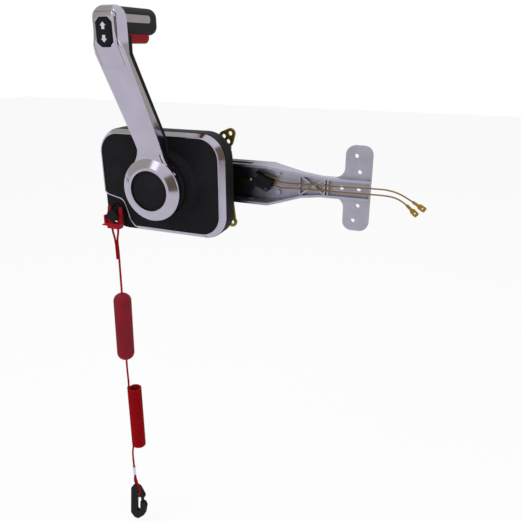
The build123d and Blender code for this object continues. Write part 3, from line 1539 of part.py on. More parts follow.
# Snap hook at the lanyard's end, and its gate
hook_frame = Plane(
    (hook_x, hook_y, hook_z),
    x_dir=(cos(radians(hook_tilt)), 0, -sin(radians(hook_tilt))),
    z_dir=(0, -1, 0),
)
with BuildPart() as snap_hook:
    with BuildSketch(hook_frame):
        with BuildLine() as hook_edge:
            FilletPolyline(
                (-11.5, 0), (-11.5, 33.5), (3.0, 33.5), (12.2, 18.0), (10.6, 9.0), (15.8, -1.5),
                (13.4, -21.0), (2.0, -34.4), (-5.0, -34.4), (-11.5, -27.5), (-11.5, -3.0),
                radius=(10.5, 7.0, 5.0, 1.5, 6.0, 12.0, 3.0, 1.5, 1.5),
            )
            Line(hook_edge.line @ 1, hook_edge.line @ 0)
        make_face(hook_edge.edges())
        with Locations(hook_slot):
            SlotOverall(2 * hook_slot_half_height, 2 * hook_slot_half_width, rotation=90, mode=Mode.SUBTRACT)
        with Locations(hook_eye):
            Circle(hook_eye_radius, mode=Mode.SUBTRACT)
    extrude(amount=hook_thickness / 2, both=True)
    chamfer(snap_hook.edges().filter_by(GeomType.LINE).sort_by(SortBy.LENGTH)[-2:], 1.0)
    # Room for the gate, its knuckle and its pin
    gate_gap = gate_thickness / 2 + slip_gap
    with BuildSketch(hook_frame):
        with Locations(gate_pivot):
            Circle(gate_knuckle_radius + part_gap)
        with Locations((gate_pivot[0] - 3, (gate_pivot[1] + gate_tip_z) / 2)):
            Rectangle(2 * gate_half_width + 7, gate_pivot[1] - gate_tip_z)
    extrude(amount=gate_gap, both=True, mode=Mode.SUBTRACT)
    with BuildSketch(hook_frame):
        with Locations((gate_pivot[0], (gate_pivot[1] - gate_knuckle_radius - 1 + gate_tip_z - 0.4) / 2)):
            Rectangle(4 * gate_half_width, gate_pivot[1] - gate_knuckle_radius - 1 - gate_tip_z + 0.4)
    extrude(amount=hook_thickness, both=True, mode=Mode.SUBTRACT)
    with BuildSketch(hook_frame):
        with Locations(gate_pivot):
            Circle(gate_pin_radius)
    extrude(amount=hook_thickness / 2, both=True)
finish(snap_hook.part, "snap_hook")

with BuildPart() as hook_gate:
    with BuildSketch(hook_frame):
        with Locations(gate_pivot):
            Circle(gate_knuckle_radius)
        with Locations((gate_pivot[0], (gate_pivot[1] + gate_tip_z) / 2)):
            Rectangle(2 * gate_half_width, gate_pivot[1] - gate_tip_z)
        with Locations(gate_pivot):
            Circle(gate_pin_radius + running_gap, mode=Mode.SUBTRACT)
    extrude(amount=gate_thickness / 2, both=True)
finish(hook_gate.part, "hook_gate")
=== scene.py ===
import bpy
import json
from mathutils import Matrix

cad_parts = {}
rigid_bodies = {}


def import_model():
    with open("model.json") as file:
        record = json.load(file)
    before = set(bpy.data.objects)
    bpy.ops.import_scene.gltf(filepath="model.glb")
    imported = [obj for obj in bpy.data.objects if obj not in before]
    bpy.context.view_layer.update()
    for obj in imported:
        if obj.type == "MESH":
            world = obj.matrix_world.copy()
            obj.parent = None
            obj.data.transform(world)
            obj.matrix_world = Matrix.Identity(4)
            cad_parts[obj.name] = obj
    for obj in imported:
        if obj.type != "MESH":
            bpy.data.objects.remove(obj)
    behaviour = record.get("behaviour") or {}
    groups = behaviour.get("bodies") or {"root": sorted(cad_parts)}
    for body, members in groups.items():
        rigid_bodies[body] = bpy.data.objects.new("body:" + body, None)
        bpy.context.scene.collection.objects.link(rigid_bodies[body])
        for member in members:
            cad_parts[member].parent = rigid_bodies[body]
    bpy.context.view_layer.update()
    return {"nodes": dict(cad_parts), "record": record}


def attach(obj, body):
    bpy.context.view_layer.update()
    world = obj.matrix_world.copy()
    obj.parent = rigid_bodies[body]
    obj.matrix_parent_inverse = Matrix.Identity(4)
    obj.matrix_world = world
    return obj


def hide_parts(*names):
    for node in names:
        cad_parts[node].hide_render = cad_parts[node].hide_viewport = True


bl_info = {
    "name": "Boat control lever",
    "version": (1, 0, 0),
    "blender": (4, 5, 0),
    "location": "View3D > Sidebar > Control lever",
    "description": "Dresses the packed side-mount throttle and shift lever and its lanyard",
    "category": "Object",
}

import bpy
import json
from math import cos, pi, radians, sin, sqrt, tan
from mathutils import Matrix, Vector

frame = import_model()

MM = 0.001
SAME_CORNER = 0.002 * MM
SAME_LEVEL = 0.05 * MM
BODIES = frame["record"]["behaviour"]["bodies"]
NODE_BODY = {node: body for body, nodes in BODIES.items() for node in nodes}
NODE_SLOT = {part["node"]: part["material_slot"] for part in frame["record"]["subparts"]}


# Sizes and colours that can be changed


class LanyardSizes(bpy.types.PropertyGroup):
    """Sizes of the stop switch's lanyard."""

    cord: bpy.props.FloatProperty(
        name="Cord", description="Diameter of the cord", default=2.7 * MM, unit="LENGTH"
    )
    curl: bpy.props.FloatProperty(
        name="Curl", description="Radius of the curly stretch, to the middle of the cord",
        default=9.0 * MM, unit="LENGTH",
    )
    turns: bpy.props.IntProperty(name="Turns", description="Turns of the curly stretch", default=33)
    ribs: bpy.props.IntProperty(name="Float ribs", description="Fine ribs round the float", default=76)
    colour: bpy.props.FloatVectorProperty(
        name="Cord colour", description="Colour of the cord", default=(0.44, 0.003, 0.006),
        size=3, subtype="COLOR",
    )
    float_colour: bpy.props.FloatVectorProperty(
        name="Float colour", description="Colour of the float", default=(0.20, 0.007, 0.016),
        size=3, subtype="COLOR",
    )


class LeverLook(bpy.types.PropertyGroup):
    """Finish of the chromed lever."""

    chrome: bpy.props.FloatVectorProperty(
        name="Chrome", description="Colour of the chrome", default=(0.46, 0.43, 0.52),
        size=3, subtype="COLOR",
    )
    roughness: bpy.props.FloatProperty(
        name="Roughness", description="Roughness of the chrome", default=0.12,
        min=0.0, max=1.0, subtype="FACTOR",
    )
    edge: bpy.props.FloatProperty(
        name="Edge", description="Radius of the arm's front edges", default=5.5 * MM, unit="LENGTH"
    )


class HousingLook(bpy.types.PropertyGroup):
    """Finish of the housing and the bracket."""

    black: bpy.props.FloatVectorProperty(
        name="Black", description="Colour of the moulded plastic", default=(0.011, 0.011, 0.012),
        size=3, subtype="COLOR",
    )
    cast: bpy.props.FloatVectorProperty(
        name="Casting", description="Colour of the cast bracket", default=(0.43, 0.42, 0.50),
        size=3, subtype="COLOR",
    )
    gold: bpy.props.FloatVectorProperty(
        name="Gold plating", description="Colour of the cable arms", default=(0.27, 0.18, 0.02),
        size=3, subtype="COLOR",
    )


# Shader maths


class Amount:
    """A socket of a finish, on which sums can be written."""

    def __init__(self, finish, socket):
        self.finish = finish
        self.socket = socket

    def sum(self, operation, first, second):
        return self.finish.node("ShaderNodeMath", {"operation": operation}, {0: first, 1: second})

    def __add__(self, other):
        return self.sum("ADD", self, other)

    def __radd__(self, other):
        return self.sum("ADD", other, self)

    def __sub__(self, other):
        return self.sum("SUBTRACT", self, other)

    def __mul__(self, other):
        return self.sum("MULTIPLY", self, other)


class Finish:
    """A material or a world, with one method that makes a node and wires it."""

    def __init__(self, name, world=None):
        self.owner = world or bpy.data.materials.new(name)
        self.owner.use_nodes = True
        self.tree = self.owner.node_tree
        self.tree.nodes.clear()

    def node(self, kind, settings=None, inputs=None, output=0):
        """A node with its settings made and its inputs set or wired, as the amount that it gives."""
        made = self.tree.nodes.new(kind)
        for key, value in (settings or {}).items():
            setattr(made, key, value)
        for key, value in (inputs or {}).items():
            if isinstance(value, Amount):
                self.tree.links.new(value.socket, made.inputs[key])
            else:
                made.inputs[key].default_value = value
        return None if output is None else Amount(self, made.outputs[output])

    def place(self):
        """The coordinates that the patterns read."""
        return self.node("ShaderNodeTexCoord", output="Object")

    def grain(self, scale, detail, place=None):
        """Fine noise of so many grains a metre."""
        return self.node(
            "ShaderNodeTexNoise", {},
            {"Vector": place or self.place(), "Scale": scale, "Detail": detail, "Roughness": 0.55},
        )

    def spread(self, value, low, high, to_low, to_high):
        """A value moved from one range to another and held inside it."""
        return self.node(
            "ShaderNodeMapRange", {"clamp": True},
            {0: value, 1: low, 2: high, 3: to_low, 4: to_high},
        )

    def mix(self, factor, first, second):
        """A colour between two."""
        colours = [c if isinstance(c, Amount) else (*c, 1.0) for c in (first, second)]
        return self.node(
            "ShaderNodeMix", {"data_type": "RGBA"}, {0: factor, 6: colours[0], 7: colours[1]}, output=2
        )

    def bump(self, height, distance, strength=1.0):
        """A surface raised by height, up to distance."""
        return self.node(
            "ShaderNodeBump", {}, {"Height": height, "Distance": distance, "Strength": strength}
        )

    def end(self, shader, kind="ShaderNodeOutputMaterial"):
        """Wires the shader to the output, and gives back the material or world that it ends."""
        self.node(kind, {}, {"Surface": shader}, output=None)
        return self.owner

    def surface(self, inputs):
        """Ends the material with one shader."""
        return self.end(self.node("ShaderNodeBsdfPrincipled", {}, inputs))


def tone(colour, factor):
    """A colour made darker or lighter."""
    return tuple(min(1.0, channel * factor) for channel in colour)


def chrome_finish(colour, roughness):
    """Polished chrome with faint wiping haze."""
    finish = Finish("chrome")
    haze = finish.grain(38.0, 3.0)
    fine = finish.grain(900.0, 2.0)
    wiped = finish.spread(haze, 0.35, 0.75, 0.0, 1.0)
    return finish.surface({
        "Base Color": finish.mix(wiped, colour, tone(colour, 0.9)),
        "Metallic": 1.0,
        "Roughness": roughness + wiped * 0.05 + fine * 0.03,
        "Normal": finish.bump(fine, 0.00001, 0.15),
    })


def moulded_finish(name, colour, roughness):
    """Moulded plastic with a fine spark-eroded grain and slightly polished high spots."""
    finish = Finish(name)
    grain = finish.grain(1500.0, 3.0)
    handled = finish.grain(30.0, 3.0)
    rubbed = finish.spread(handled, 0.45, 0.75, 0.0, 1.0)
    return finish.surface({
        "Base Color": finish.mix(rubbed, colour, tone(colour, 1.35)),
        "Roughness": roughness + grain * 0.12 - rubbed * 0.05,
        "Specular IOR Level": 0.06,
        "Normal": finish.bump(grain, 0.00006, 0.35),
    })


def cast_finish(colour):
    """Die-cast alloy: fine grain, soft cloudy patches and a few darker pits."""
    finish = Finish("cast_metal")
    grain = finish.grain(1400.0, 5.0)
    cloud = finish.grain(45.0, 4.0)
    pits = finish.spread(finish.grain(420.0, 2.0), 0.66, 0.74, 0.0, 1.0)
    shade = finish.spread(cloud, 0.3, 0.7, 0.0, 1.0)
    base = finish.mix(shade, tone(colour, 0.86), tone(colour, 1.08))
    # Painted shade and painted dark reflection of the black housing: near black by the panel, fading out past
    # the switch
    along = finish.node("ShaderNodeSeparateXYZ", {}, {"Vector": finish.place()})
    painted_shade = finish.spread(along - cloud * 0.05, 0.058, 0.098, 0.95, 0.0)
    with_painted_shade = finish.mix(painted_shade, base, (0.012, 0.012, 0.014))
    # Round marks that the mould's pins left beside the clamp holes
    wall_y = 0.0415
    rings = 0.0
    for x, z in ((0.2150, 0.0365), (0.2195, 0.0180), (0.2195, -0.0225), (0.2150, -0.0410)):
        reach = finish.node(
            "ShaderNodeVectorMath", {"operation": "DISTANCE"},
            {0: finish.place(), 1: (x, wall_y, z)}, output=1,
        )
        inner = finish.spread(reach, 0.0052, 0.0056, 0.0, 1.0)
        outer = finish.spread(reach, 0.0060, 0.0064, 1.0, 0.0)
        rings = inner * outer + rings
    return finish.surface({
        "Base Color": finish.mix(pits * 0.35 + rings * 0.18, with_painted_shade, tone(colour, 0.4)),
        "Metallic": 0.85,
        "Roughness": 0.38 + grain * 0.16,
        "Normal": finish.bump(grain - pits * 0.6 - rings * 0.8, 0.00014, 0.5),
    })


def steel_finish(name, colour, roughness=0.3):
    """Turned or pressed steel with fine drawing marks."""
    finish = Finish(name)
    place = finish.node("ShaderNodeMapping", {}, {"Vector": finish.place(), "Scale": (1.0, 12.0, 1.0)})
    marks = finish.grain(320.0, 4.0, place=place)
    return finish.surface({
        "Base Color": finish.mix(marks, tone(colour, 0.85), colour),
        "Metallic": 1.0,
        "Roughness": roughness + marks * 0.12,
        "Normal": finish.bump(marks, 0.00003, 0.3),
    })


def gold_finish(name, colour, metallic=0.9, with_painted_shade=False):
    """Yellow chromate plating, uneven from olive to brown."""
    finish = Finish(name)
    cloud = finish.grain(90.0, 4.0)
    fine = finish.grain(1100.0, 3.0)
    patch = finish.spread(cloud, 0.35, 0.68, 0.0, 1.0)
    olive = (colour[0] * 0.82, colour[1], colour[2] * 1.1)
    plated = finish.mix(patch, colour, olive)
    if with_painted_shade:
        # Painted shade darkens the middle of the arms, by the gears
        height = finish.node("ShaderNodeSeparateXYZ", {}, {"Vector": finish.place()}, output=2)
        off_centre = finish.node("ShaderNodeMath", {"operation": "ABSOLUTE"}, {0: height})
        plated = finish.mix(finish.spread(off_centre, 0.022, 0.040, 0.93, 0.0), plated, (0.012, 0.011, 0.008))
    return finish.surface({
        "Base Color": plated,
        "Metallic": metallic,
        "Roughness": 0.3 + fine * 0.14 + patch * 0.06,
        "Normal": finish.bump(fine, 0.00003, 0.3),
    })


def rubber_finish(name, colour):
    """Soft black rubber."""
    finish = Finish(name)
    grain = finish.grain(1800.0, 4.0)
    return finish.surface({
        "Base Color": finish.mix(grain, colour, tone(colour, 1.8)),
        "Roughness": 0.7 + grain * 0.1,
        "Specular IOR Level": 0.2,
        "Normal": finish.bump(grain, 0.00008, 0.5),
    })


def foam_finish(colour):
    """Closed-cell foam of the float: dull, finely pored and a little faded."""
    finish = Finish("foam_red")
    pores = finish.node(
        "ShaderNodeTexVoronoi", {"feature": "F1"}, {"Vector": finish.place(), "Scale": 900.0}
    )
    fade = finish.grain(35.0, 4.0)
    worn = finish.spread(fade, 0.4, 0.72, 0.0, 1.0)
    return finish.surface({
        "Base Color": finish.mix(worn, colour, tone(colour, 1.35)),
        "Roughness": 0.55 + fade * 0.2,
        "Specular IOR Level": 0.2,
        "Normal": finish.bump(pores, 0.00008, 0.5),
    })


def braid_finish(colour):
    """Braided cord sheath: slanting strands with darker gaps between them."""
    finish = Finish("cord_red")
    place = finish.place()
    turned = finish.node("ShaderNodeMapping", {}, {"Vector": place, "Scale": (-1.0, -1.0, 1.0)})
    one_way, other_way = (
        finish.node(
            "ShaderNodeTexWave", {"wave_type": "BANDS", "bands_direction": "DIAGONAL"},
            {"Vector": slant, "Scale": 210.0, "Distortion": 0.6},
        )
        for slant in (place, turned)
    )
    strands = one_way * other_way
    fibres = finish.grain(2600.0, 2.0)
    return finish.surface({
        "Base Color": finish.mix(strands, tone(colour, 0.55), colour),
        "Roughness": 0.6 + fibres * 0.15,
        "Specular IOR Level": 0.06,
        "Normal": finish.bump(strands * 0.8 + fibres * 0.2, 0.0002, 0.7),
    })


def nylon_finish(colour):
    """Natural nylon, slightly yellowed."""
    finish = Finish("nylon")
    cloud = finish.grain(60.0, 3.0)
    return finish.surface({
        "Base Color": finish.mix(cloud, tone(colour, 0.9), colour),
        "Roughness": 0.4 + cloud * 0.1,
        "Subsurface Weight": 0.1,
        "Normal": finish.bump(cloud, 0.00003, 0.2),
    })


def print_finish(colour):
    """Pale printed ink, a little worn."""
    finish = Finish("arrow_print")
    fine = finish.grain(1600.0, 3.0)
    return finish.surface({
        "Base Color": finish.mix(fine, tone(colour, 0.86), colour),
        "Roughness": 0.5 + fine * 0.15,
        "Normal": finish.bump(fine, 0.00002, 0.3),
    })


FINISHES = {}


def make_finishes(lanyard, lever, housing):
    """Makes each finish once, by the name of its slot in the record or by one of its own."""
    FINISHES.update({
        "black_plastic": moulded_finish("black_plastic", tuple(housing.black), 0.55),
        "chrome": chrome_finish(tuple(lever.chrome), lever.roughness),
        "cast_metal": cast_finish(tuple(housing.cast)),
        "steel": steel_finish("steel", (0.42, 0.41, 0.43)),
        # The cable arms get painted shade in their middle, by the gears
        "plated_gold": gold_finish("plated_gold", tuple(housing.gold), with_painted_shade=True),
        "wire_gold": gold_finish("wire_gold", (0.23, 0.115, 0.008), 0.35),
        "blade_gold": gold_finish("blade_gold", (0.36, 0.19, 0.015), 0.8),
        "bright_tin": steel_finish("bright_tin", (0.78, 0.78, 0.88), 0.5),
        "dark_steel": steel_finish("dark_steel", (0.05, 0.05, 0.055), 0.4),
        "rubber": rubber_finish("rubber", (0.012, 0.012, 0.012)),
        "red_plastic": moulded_finish("red_plastic", (0.27, 0.008, 0.016), 0.36),
        "cord_red": braid_finish(tuple(lanyard.colour)),
        "foam_red": foam_finish(tuple(lanyard.float_colour)),
        "bronze": steel_finish("bronze", (0.40, 0.27, 0.12), 0.35),
        "nylon": nylon_finish((0.62, 0.60, 0.52)),
        "arrow_print": print_finish((0.62, 0.62, 0.68)),
        "grip_black": rubber_finish("grip_black", (0.010, 0.010, 0.011)),
    })


# Modelling, as by hand


def clear_hand():
    """Leaves edit mode and selects nothing."""
    if bpy.context.object and bpy.context.object.mode != "OBJECT":
        bpy.ops.object.mode_set(mode="OBJECT")
    bpy.ops.object.select_all(action="DESELECT")


def hold(piece):
    """Selects one piece alone."""
    clear_hand()
    piece.select_set(True)
    bpy.context.view_layer.objects.active = piece


def draw(name, points, closed=True):
    """A new piece: one line drawn through the points by extruding a corner, closed into a face."""
    clear_hand()
    bpy.ops.mesh.primitive_plane_add(size=MM, location=points[0])
    piece = bpy.context.object
    piece.name = name
    bpy.ops.object.transform_apply(location=True, rotation=True, scale=True)
    bpy.ops.object.mode_set(mode="EDIT")
    bpy.ops.mesh.select_all(action="SELECT")
    bpy.ops.mesh.merge(type="CENTER")
    for start, end in zip(points, points[1:]):
        step = Vector(end) - Vector(start)
        bpy.ops.mesh.extrude_region_move(TRANSFORM_OT_translate={"value": step})
    if closed:
        bpy.ops.mesh.select_all(action="SELECT")
        bpy.ops.mesh.edge_face_add()
    bpy.ops.object.mode_set(mode="OBJECT")
    return piece


def plate(name, points, push):
    """A flat outline pushed out into a solid."""
    piece = draw(name, points)
    bpy.ops.object.mode_set(mode="EDIT")
    bpy.ops.mesh.select_all(action="SELECT")
    bpy.ops.mesh.extrude_region_move(TRANSFORM_OT_translate={"value": push})
    face_out(piece)
    return piece


def turn(name, profile, centre, axis, steps):
    """A profile drawn as a line and spun once round an axis."""
    piece = draw(name, profile, closed=False)
    bpy.ops.object.mode_set(mode="EDIT")
    bpy.ops.mesh.select_all(action="SELECT")
    bpy.ops.mesh.spin(steps=steps, dupli=False, angle=2 * pi, center=centre, axis=axis)
    face_out(piece)
    return piece


def face_out(piece):
    """Joins doubled corners and turns every face outwards."""
    hold(piece)
    bpy.ops.object.mode_set(mode="EDIT")
    bpy.ops.mesh.select_all(action="SELECT")
    bpy.ops.mesh.remove_doubles(threshold=SAME_CORNER)
    bpy.ops.mesh.normals_make_consistent(inside=False)
    bpy.ops.object.mode_set(mode="OBJECT")


def lift(node, name):
    """A free copy of a CAD node's shape, its triangles joined and its flat faces made whole."""
    hold(frame["nodes"][node])
    bpy.ops.object.duplicate(linked=False)
    piece = bpy.context.object
    bpy.ops.object.parent_clear(type="CLEAR_KEEP_TRANSFORM")
    piece.name = name
    piece.data.name = name
    piece.data.materials.clear()
    bpy.ops.object.transform_apply(location=True, rotation=True, scale=True)
    if piece.data.has_custom_normals:
        bpy.ops.mesh.customdata_custom_splitnormals_clear()
    bpy.ops.object.mode_set(mode="EDIT")
    bpy.ops.mesh.select_all(action="SELECT")
    bpy.ops.mesh.remove_doubles(threshold=SAME_CORNER)
    bpy.ops.mesh.dissolve_limited(angle_limit=radians(0.6))
    bpy.ops.object.mode_set(mode="OBJECT")
    return piece


def round_edges(piece, width, segments=2, angle=32):
    """Rounds every edge sharper than the angle."""
    hold(piece)
    bevel = piece.modifiers.new("edges", "BEVEL")
    bevel.width = width
    bevel.segments = segments
    bevel.limit_method = "ANGLE"
    bevel.angle_limit = radians(angle)
    bevel.use_clamp_overlap = True
    bpy.ops.object.modifier_apply(modifier=bevel.name)


def cut(piece, tool, keep="DIFFERENCE"):
    """Cuts a piece with a tool and throws the tool away."""
    hold(piece)
    boolean = piece.modifiers.new("cut", "BOOLEAN")
    boolean.operation = keep
    boolean.solver = "EXACT"
    boolean.object = tool
    bpy.ops.object.modifier_apply(modifier=boolean.name)
    bpy.data.objects.remove(tool, do_unlink=True)


def smooth(piece, angle=34, weigh=True):
    """Shades a piece smooth up to an angle, with its large faces kept flat."""
    hold(piece)
    bpy.ops.object.shade_smooth_by_angle(angle=radians(angle))
    if weigh:
        weighted = piece.modifiers.new("weighted", "WEIGHTED_NORMAL")
        weighted.keep_sharp = True
        bpy.ops.object.modifier_apply(modifier=weighted.name)


def settle(piece, node, finish=None):
    """Gives a finished piece its material, its body and the node that it stands for."""
    slot = NODE_SLOT[node]
    piece.data.materials.clear()
    piece.data.materials.append(FINISHES[finish or slot])
    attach(piece, NODE_BODY[node])
    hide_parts(node)
    return piece


def dress(node, name, edge, segments=2, finish=None):
    """A CAD node's shape with rounded edges and its finish."""
    piece = lift(node, name)
    round_edges(piece, edge, segments)
    smooth(piece)
    return settle(piece, node, finish)


def paint(node):
    """Gives a CAD node that keeps its shape a better material."""
    piece = frame["nodes"][node]
    piece.data.materials.clear()
    piece.data.materials.append(FINISHES[NODE_SLOT[node]])


# Lever sizes in millimetres, after the model and the photo
hub_rim_y = -54.7
arm_front_start_z = 45.2
arm_tilt = radians(27.8)
arm_back_y = -42.0
arm_back_start_z = 55.6
arm_back_end_z = 148.6
arm_back_tilt = radians(32.6)
head_front_y = -114.0
head_back_y = -101.5
head_top_z = 193.5
head_corner = 13.0
head_top_round = 11.0
head_half_width = 18.6
neck_half_width = 16.4
neck_z = 56.0
wide_z = 160.0
flare_x = 50.2
flare_z = 49.2
flare_radius = 34.0
pad_middle_z = 168.8
pad_face_y = -115.2
before_lever_y = -125.0


def front_y(z):
    """Depth of the arm's front at height z."""
    if z > head_top_z - head_top_round:
        rise = min(z - (head_top_z - head_top_round), head_top_round)
        return head_front_y + head_top_round - sqrt(head_top_round**2 - rise**2)
    return max(head_front_y, min(hub_rim_y, hub_rim_y - tan(arm_tilt) * (z - arm_front_start_z)))


def back_y(z):
    """Depth of the arm's back at height z."""
    return max(head_back_y, min(arm_back_y, arm_back_y - tan(arm_back_tilt) * (z - arm_back_start_z)))


def half_width(z):
    """Half width of the arm at height z, flared at the hub and rounded at the head."""
    width = neck_half_width + (z - neck_z) / (wide_z - neck_z) * (head_half_width - neck_half_width)
    width = min(width, head_half_width)
    if z < flare_z:
        width = max(width, flare_x - sqrt(flare_radius**2 - (flare_z - z) ** 2))
    if z > head_top_z - head_corner:
        rise = min(z - (head_top_z - head_corner), head_corner)
        width = head_half_width - head_corner + sqrt(head_corner**2 - rise**2)
    return width


class LEVER_OT_stage(bpy.types.Operator):
    """Adds the floor, the soft lights, the background and the camera"""

    bl_idname = "lever.stage"
    bl_label = "Stage and camera"

    def execute(self, context):
        clear_hand()
        # The camera stands where the photo was taken from, turned to these three directions
        right = Vector((0.9301, 0.3673, 0.0))
        up = Vector((-0.1353, 0.3425, 0.9297))
        back = Vector((0.3415, -0.8647, 0.3683))
        bpy.ops.object.camera_add(location=(0.3463, -0.5841, 0.1576))
        camera = context.object
        camera.name = "camera"
        camera.rotation_euler = Matrix((right, up, back)).transposed().to_euler()
        camera.data.sensor_width = 36.0
        camera.data.lens = 37.65
        context.scene.camera = camera

        # Floor just under the hook: nearly white where it is seen, with the shadow faintly on it
        clear_hand()
        floor_z = -0.56
        seen_white = 0.9
        bpy.ops.mesh.primitive_plane_add(size=12.0, location=(0.0, 0.0, floor_z))
        floor = context.object
        floor.name = "floor"
        bpy.ops.object.transform_apply(location=True, rotation=True, scale=True)
        finish = Finish("floor")
        paper = finish.node("ShaderNodeBsdfDiffuse", {}, {"Color": (0.9, 0.9, 0.9, 1.0)})
        glow = finish.node("ShaderNodeEmission", {}, {"Color": (1.0, 1.0, 1.0, 1.0), "Strength": 1.0})
        seen = finish.node("ShaderNodeLightPath", output="Is Camera Ray")
        mirrored = finish.node("ShaderNodeLightPath", output="Is Glossy Ray")
        clear = finish.node("ShaderNodeLightPath", output="Is Transmission Ray")
        factor = (seen + mirrored + clear) * seen_white
        floor.data.materials.append(
            finish.end(finish.node("ShaderNodeMixShader", {}, {0: factor, 1: paper, 2: glow}))
        )

        # Background: white where it is seen, a soft grey light elsewhere
        context.scene.world = bpy.data.worlds.new("studio")
        sky = Finish("studio", context.scene.world)
        limited = {"operation": "ADD", "use_clamp": True}
        seen = sky.node("ShaderNodeLightPath", output="Is Camera Ray")
        mirrored = sky.node("ShaderNodeLightPath", output="Is Glossy Ray")
        clear = sky.node("ShaderNodeLightPath", output="Is Transmission Ray")
        either = sky.node("ShaderNodeMath", limited, {0: seen, 1: mirrored})
        factor = sky.node("ShaderNodeMath", limited, {0: either, 1: clear})
        soft = sky.node("ShaderNodeBackground", {}, {"Color": (0.9, 0.92, 1.0, 1.0), "Strength": 0.55})
        white = sky.node("ShaderNodeBackground", {}, {"Color": (1.0, 1.0, 1.0, 1.0), "Strength": 1.0})
        sky.end(sky.node("ShaderNodeMixShader", {}, {0: factor, 1: soft, 2: white}), "ShaderNodeOutputWorld")

        # Cards that only the polished metal sees: a warm room, bright windows and one dark line
        brown = (0.22, 0.165, 0.12)
        warm = (0.62, 0.62, 0.51)
        dark = (0.03, 0.03, 0.03)
        ridge = (2.2, 2.2, 2.2)
        bright = (2.4, 2.4, 2.4)
        self.card("card_brown", (0.54, -1.14, 0.13), 0.72, brown)
        self.card("card_upper", (-1.10, -0.65, 0.65), 1.40, warm)
        self.card("card_line", (-0.97, -0.12, -0.05), 0.08, dark)
        self.card("card_glint", (-0.32, -0.96, 0.74), 0.32, bright)
        self.card("card_over", (-0.80, 0.10, 1.20), 1.20, warm)
        self.card("card_side", (0.85, 1.05, 0.05), 1.80, warm)
        self.card("card_ridge", (0.98, -0.78, 0.19), 0.28, ridge)
        self.card("card_corner_left", (-0.92, 0.72, 0.47), 0.24, bright)
        self.card("card_corner_right", (0.25, -0.20, 1.20), 0.26, bright)
        self.lamp("key", (-0.9, -1.3, 1.2), 1.0, 14.0)
        self.lamp("fill", (1.5, -1.1, 0.5), 1.2, 8.0)
        self.lamp("top", (0.1, 0.3, 1.5), 1.2, 9.0)
        context.scene.view_settings.view_transform = "Standard"
        return {"FINISHED"}

    def card(self, name, place, size, colour):
        """One square card, facing the lever and seen only in its polished metal."""
        clear_hand()
        aim = Vector((0.0, -0.05, 0.05)) - Vector(place)
        bpy.ops.mesh.primitive_plane_add(
            size=size, location=place, rotation=aim.to_track_quat("Z", "Y").to_euler()
        )
        card = bpy.context.object
        card.name = name
        bpy.ops.object.transform_apply(location=True, rotation=True, scale=True)
        card.visible_camera = False
        card.visible_shadow = False
        card.visible_diffuse = False
        finish = Finish(name)
        shade = finish.node("ShaderNodeEmission", {}, {"Color": (*colour, 1.0), "Strength": 1.0})
        card.data.materials.append(finish.end(shade))

    def lamp(self, name, place, size, power):
        """One square soft light, aimed at the lever."""
        bpy.ops.object.light_add(type="AREA", location=place)
        lamp = bpy.context.object
        lamp.name = name
        lamp.data.size = size
        lamp.data.energy = power
        lamp.visible_glossy = False
        aim = Vector((0.05, -0.03, 0.0)) - Vector(place)
        lamp.rotation_euler = aim.to_track_quat("-Z", "Y").to_euler()


class LEVER_OT_finishes(bpy.types.Operator):
    """Makes the finishes that the pieces share"""

    bl_idname = "lever.finishes"
    bl_label = "Finishes"

    def execute(self, context):
        scene = context.scene
        make_finishes(scene.lanyard_sizes, scene.lever_look, scene.housing_look)
        return {"FINISHED"}


# Routes of the cords in millimetres: the model's points, some moved or added after the photo
loop_route = [
    (-73.7, -33.0, -104.5), (-73.4, -33.0, -90.0), (-73.8, -33.0, -76.5), (-76.4, -33.0, -66.5),
    (-76.4, -33.0, -57.6), (-67.6, -33.0, -57.6),
]
lanyard_route = [
    (-67.6, -33.0, -59.6), (-67.6, -33.0, -66.5), (-70.8, -33.0, -76.5),
    (-70.4, -33.0, -90.0), (-70.7, -33.0, -104.5), (-71.2, -33.0, -122.0), (-72.0, -33.0, -152.5),
    (-76.2, -33.0, -259.5), (-76.5, -33.0, -282.0),
]
coil_top = (-67.4, -33.0, -303.0)
coil_bottom = (-69.2, -33.0, -405.0)
hook_route = [
    (-79.3, -37.2, -419.0), (-77.9, -39.1, -434.0), (-77.9, -39.1, -466.0),
    (-71.2, -43.0, -476.0), (-67.3, -43.6, -488.5), (-72.9, -43.3, -497.0), (-73.9, -32.9, -494.8),
    (-83.2, -32.7, -487.0), (-83.0, -35.4, -477.5), (-79.8, -36.9, -466.0), (-79.8, -36.9, -444.5),
    (-79.9, -36.7, -431.5),
]
wire_upper_route = [
    (108.4, 31.0, 10.2), (119.8, 31.0, 7.0), (129.0, 31.0, 2.2), (144.0, 31.0, 1.6),
    (200.0, 31.0, 2.9), (243.0, 31.0, 4.1), (256.0, 31.0, 4.4), (270.0, 31.0, 2.0), (283.0, 31.0, -4.3),
    (293.0, 31.0, -10.2),
]
wire_lower_route = [
    (120.6, 31.0, -1.8), (129.4, 31.0, -5.4), (138.6, 31.0, -4.3), (153.0, 31.0, -4.0),
    (203.0, 31.0, -3.5), (241.0, 31.0, -2.9), (254.0, 31.0, -2.6), (268.0, 31.0, -3.8), (279.0, 31.0, -9.4),
    (286.0, 31.0, -15.6),
]
wire_diameter = 1.8 * MM


def cord_curve(name, points, diameter):
    """A cord on one smooth spline, with the points in millimetres as its control points."""
    clear_hand()
    bpy.ops.object.add(type="CURVE", location=(0, 0, 0))
    piece = bpy.context.object
    piece.name = name
    piece.data.dimensions = "3D"
    spline = piece.data.splines.new("NURBS")
    spline.points.add(len(points) - 1)
    for control, point in zip(spline.points, points):
        control.co = (point[0] * MM, point[1] * MM, point[2] * MM, 1.0)
    spline.order_u = 3
    spline.use_endpoint_u = True
    spline.resolution_u = 6
    piece.data.bevel_depth = diameter / 2
    piece.data.bevel_resolution = 4
    piece.data.use_fill_caps = True
    return piece


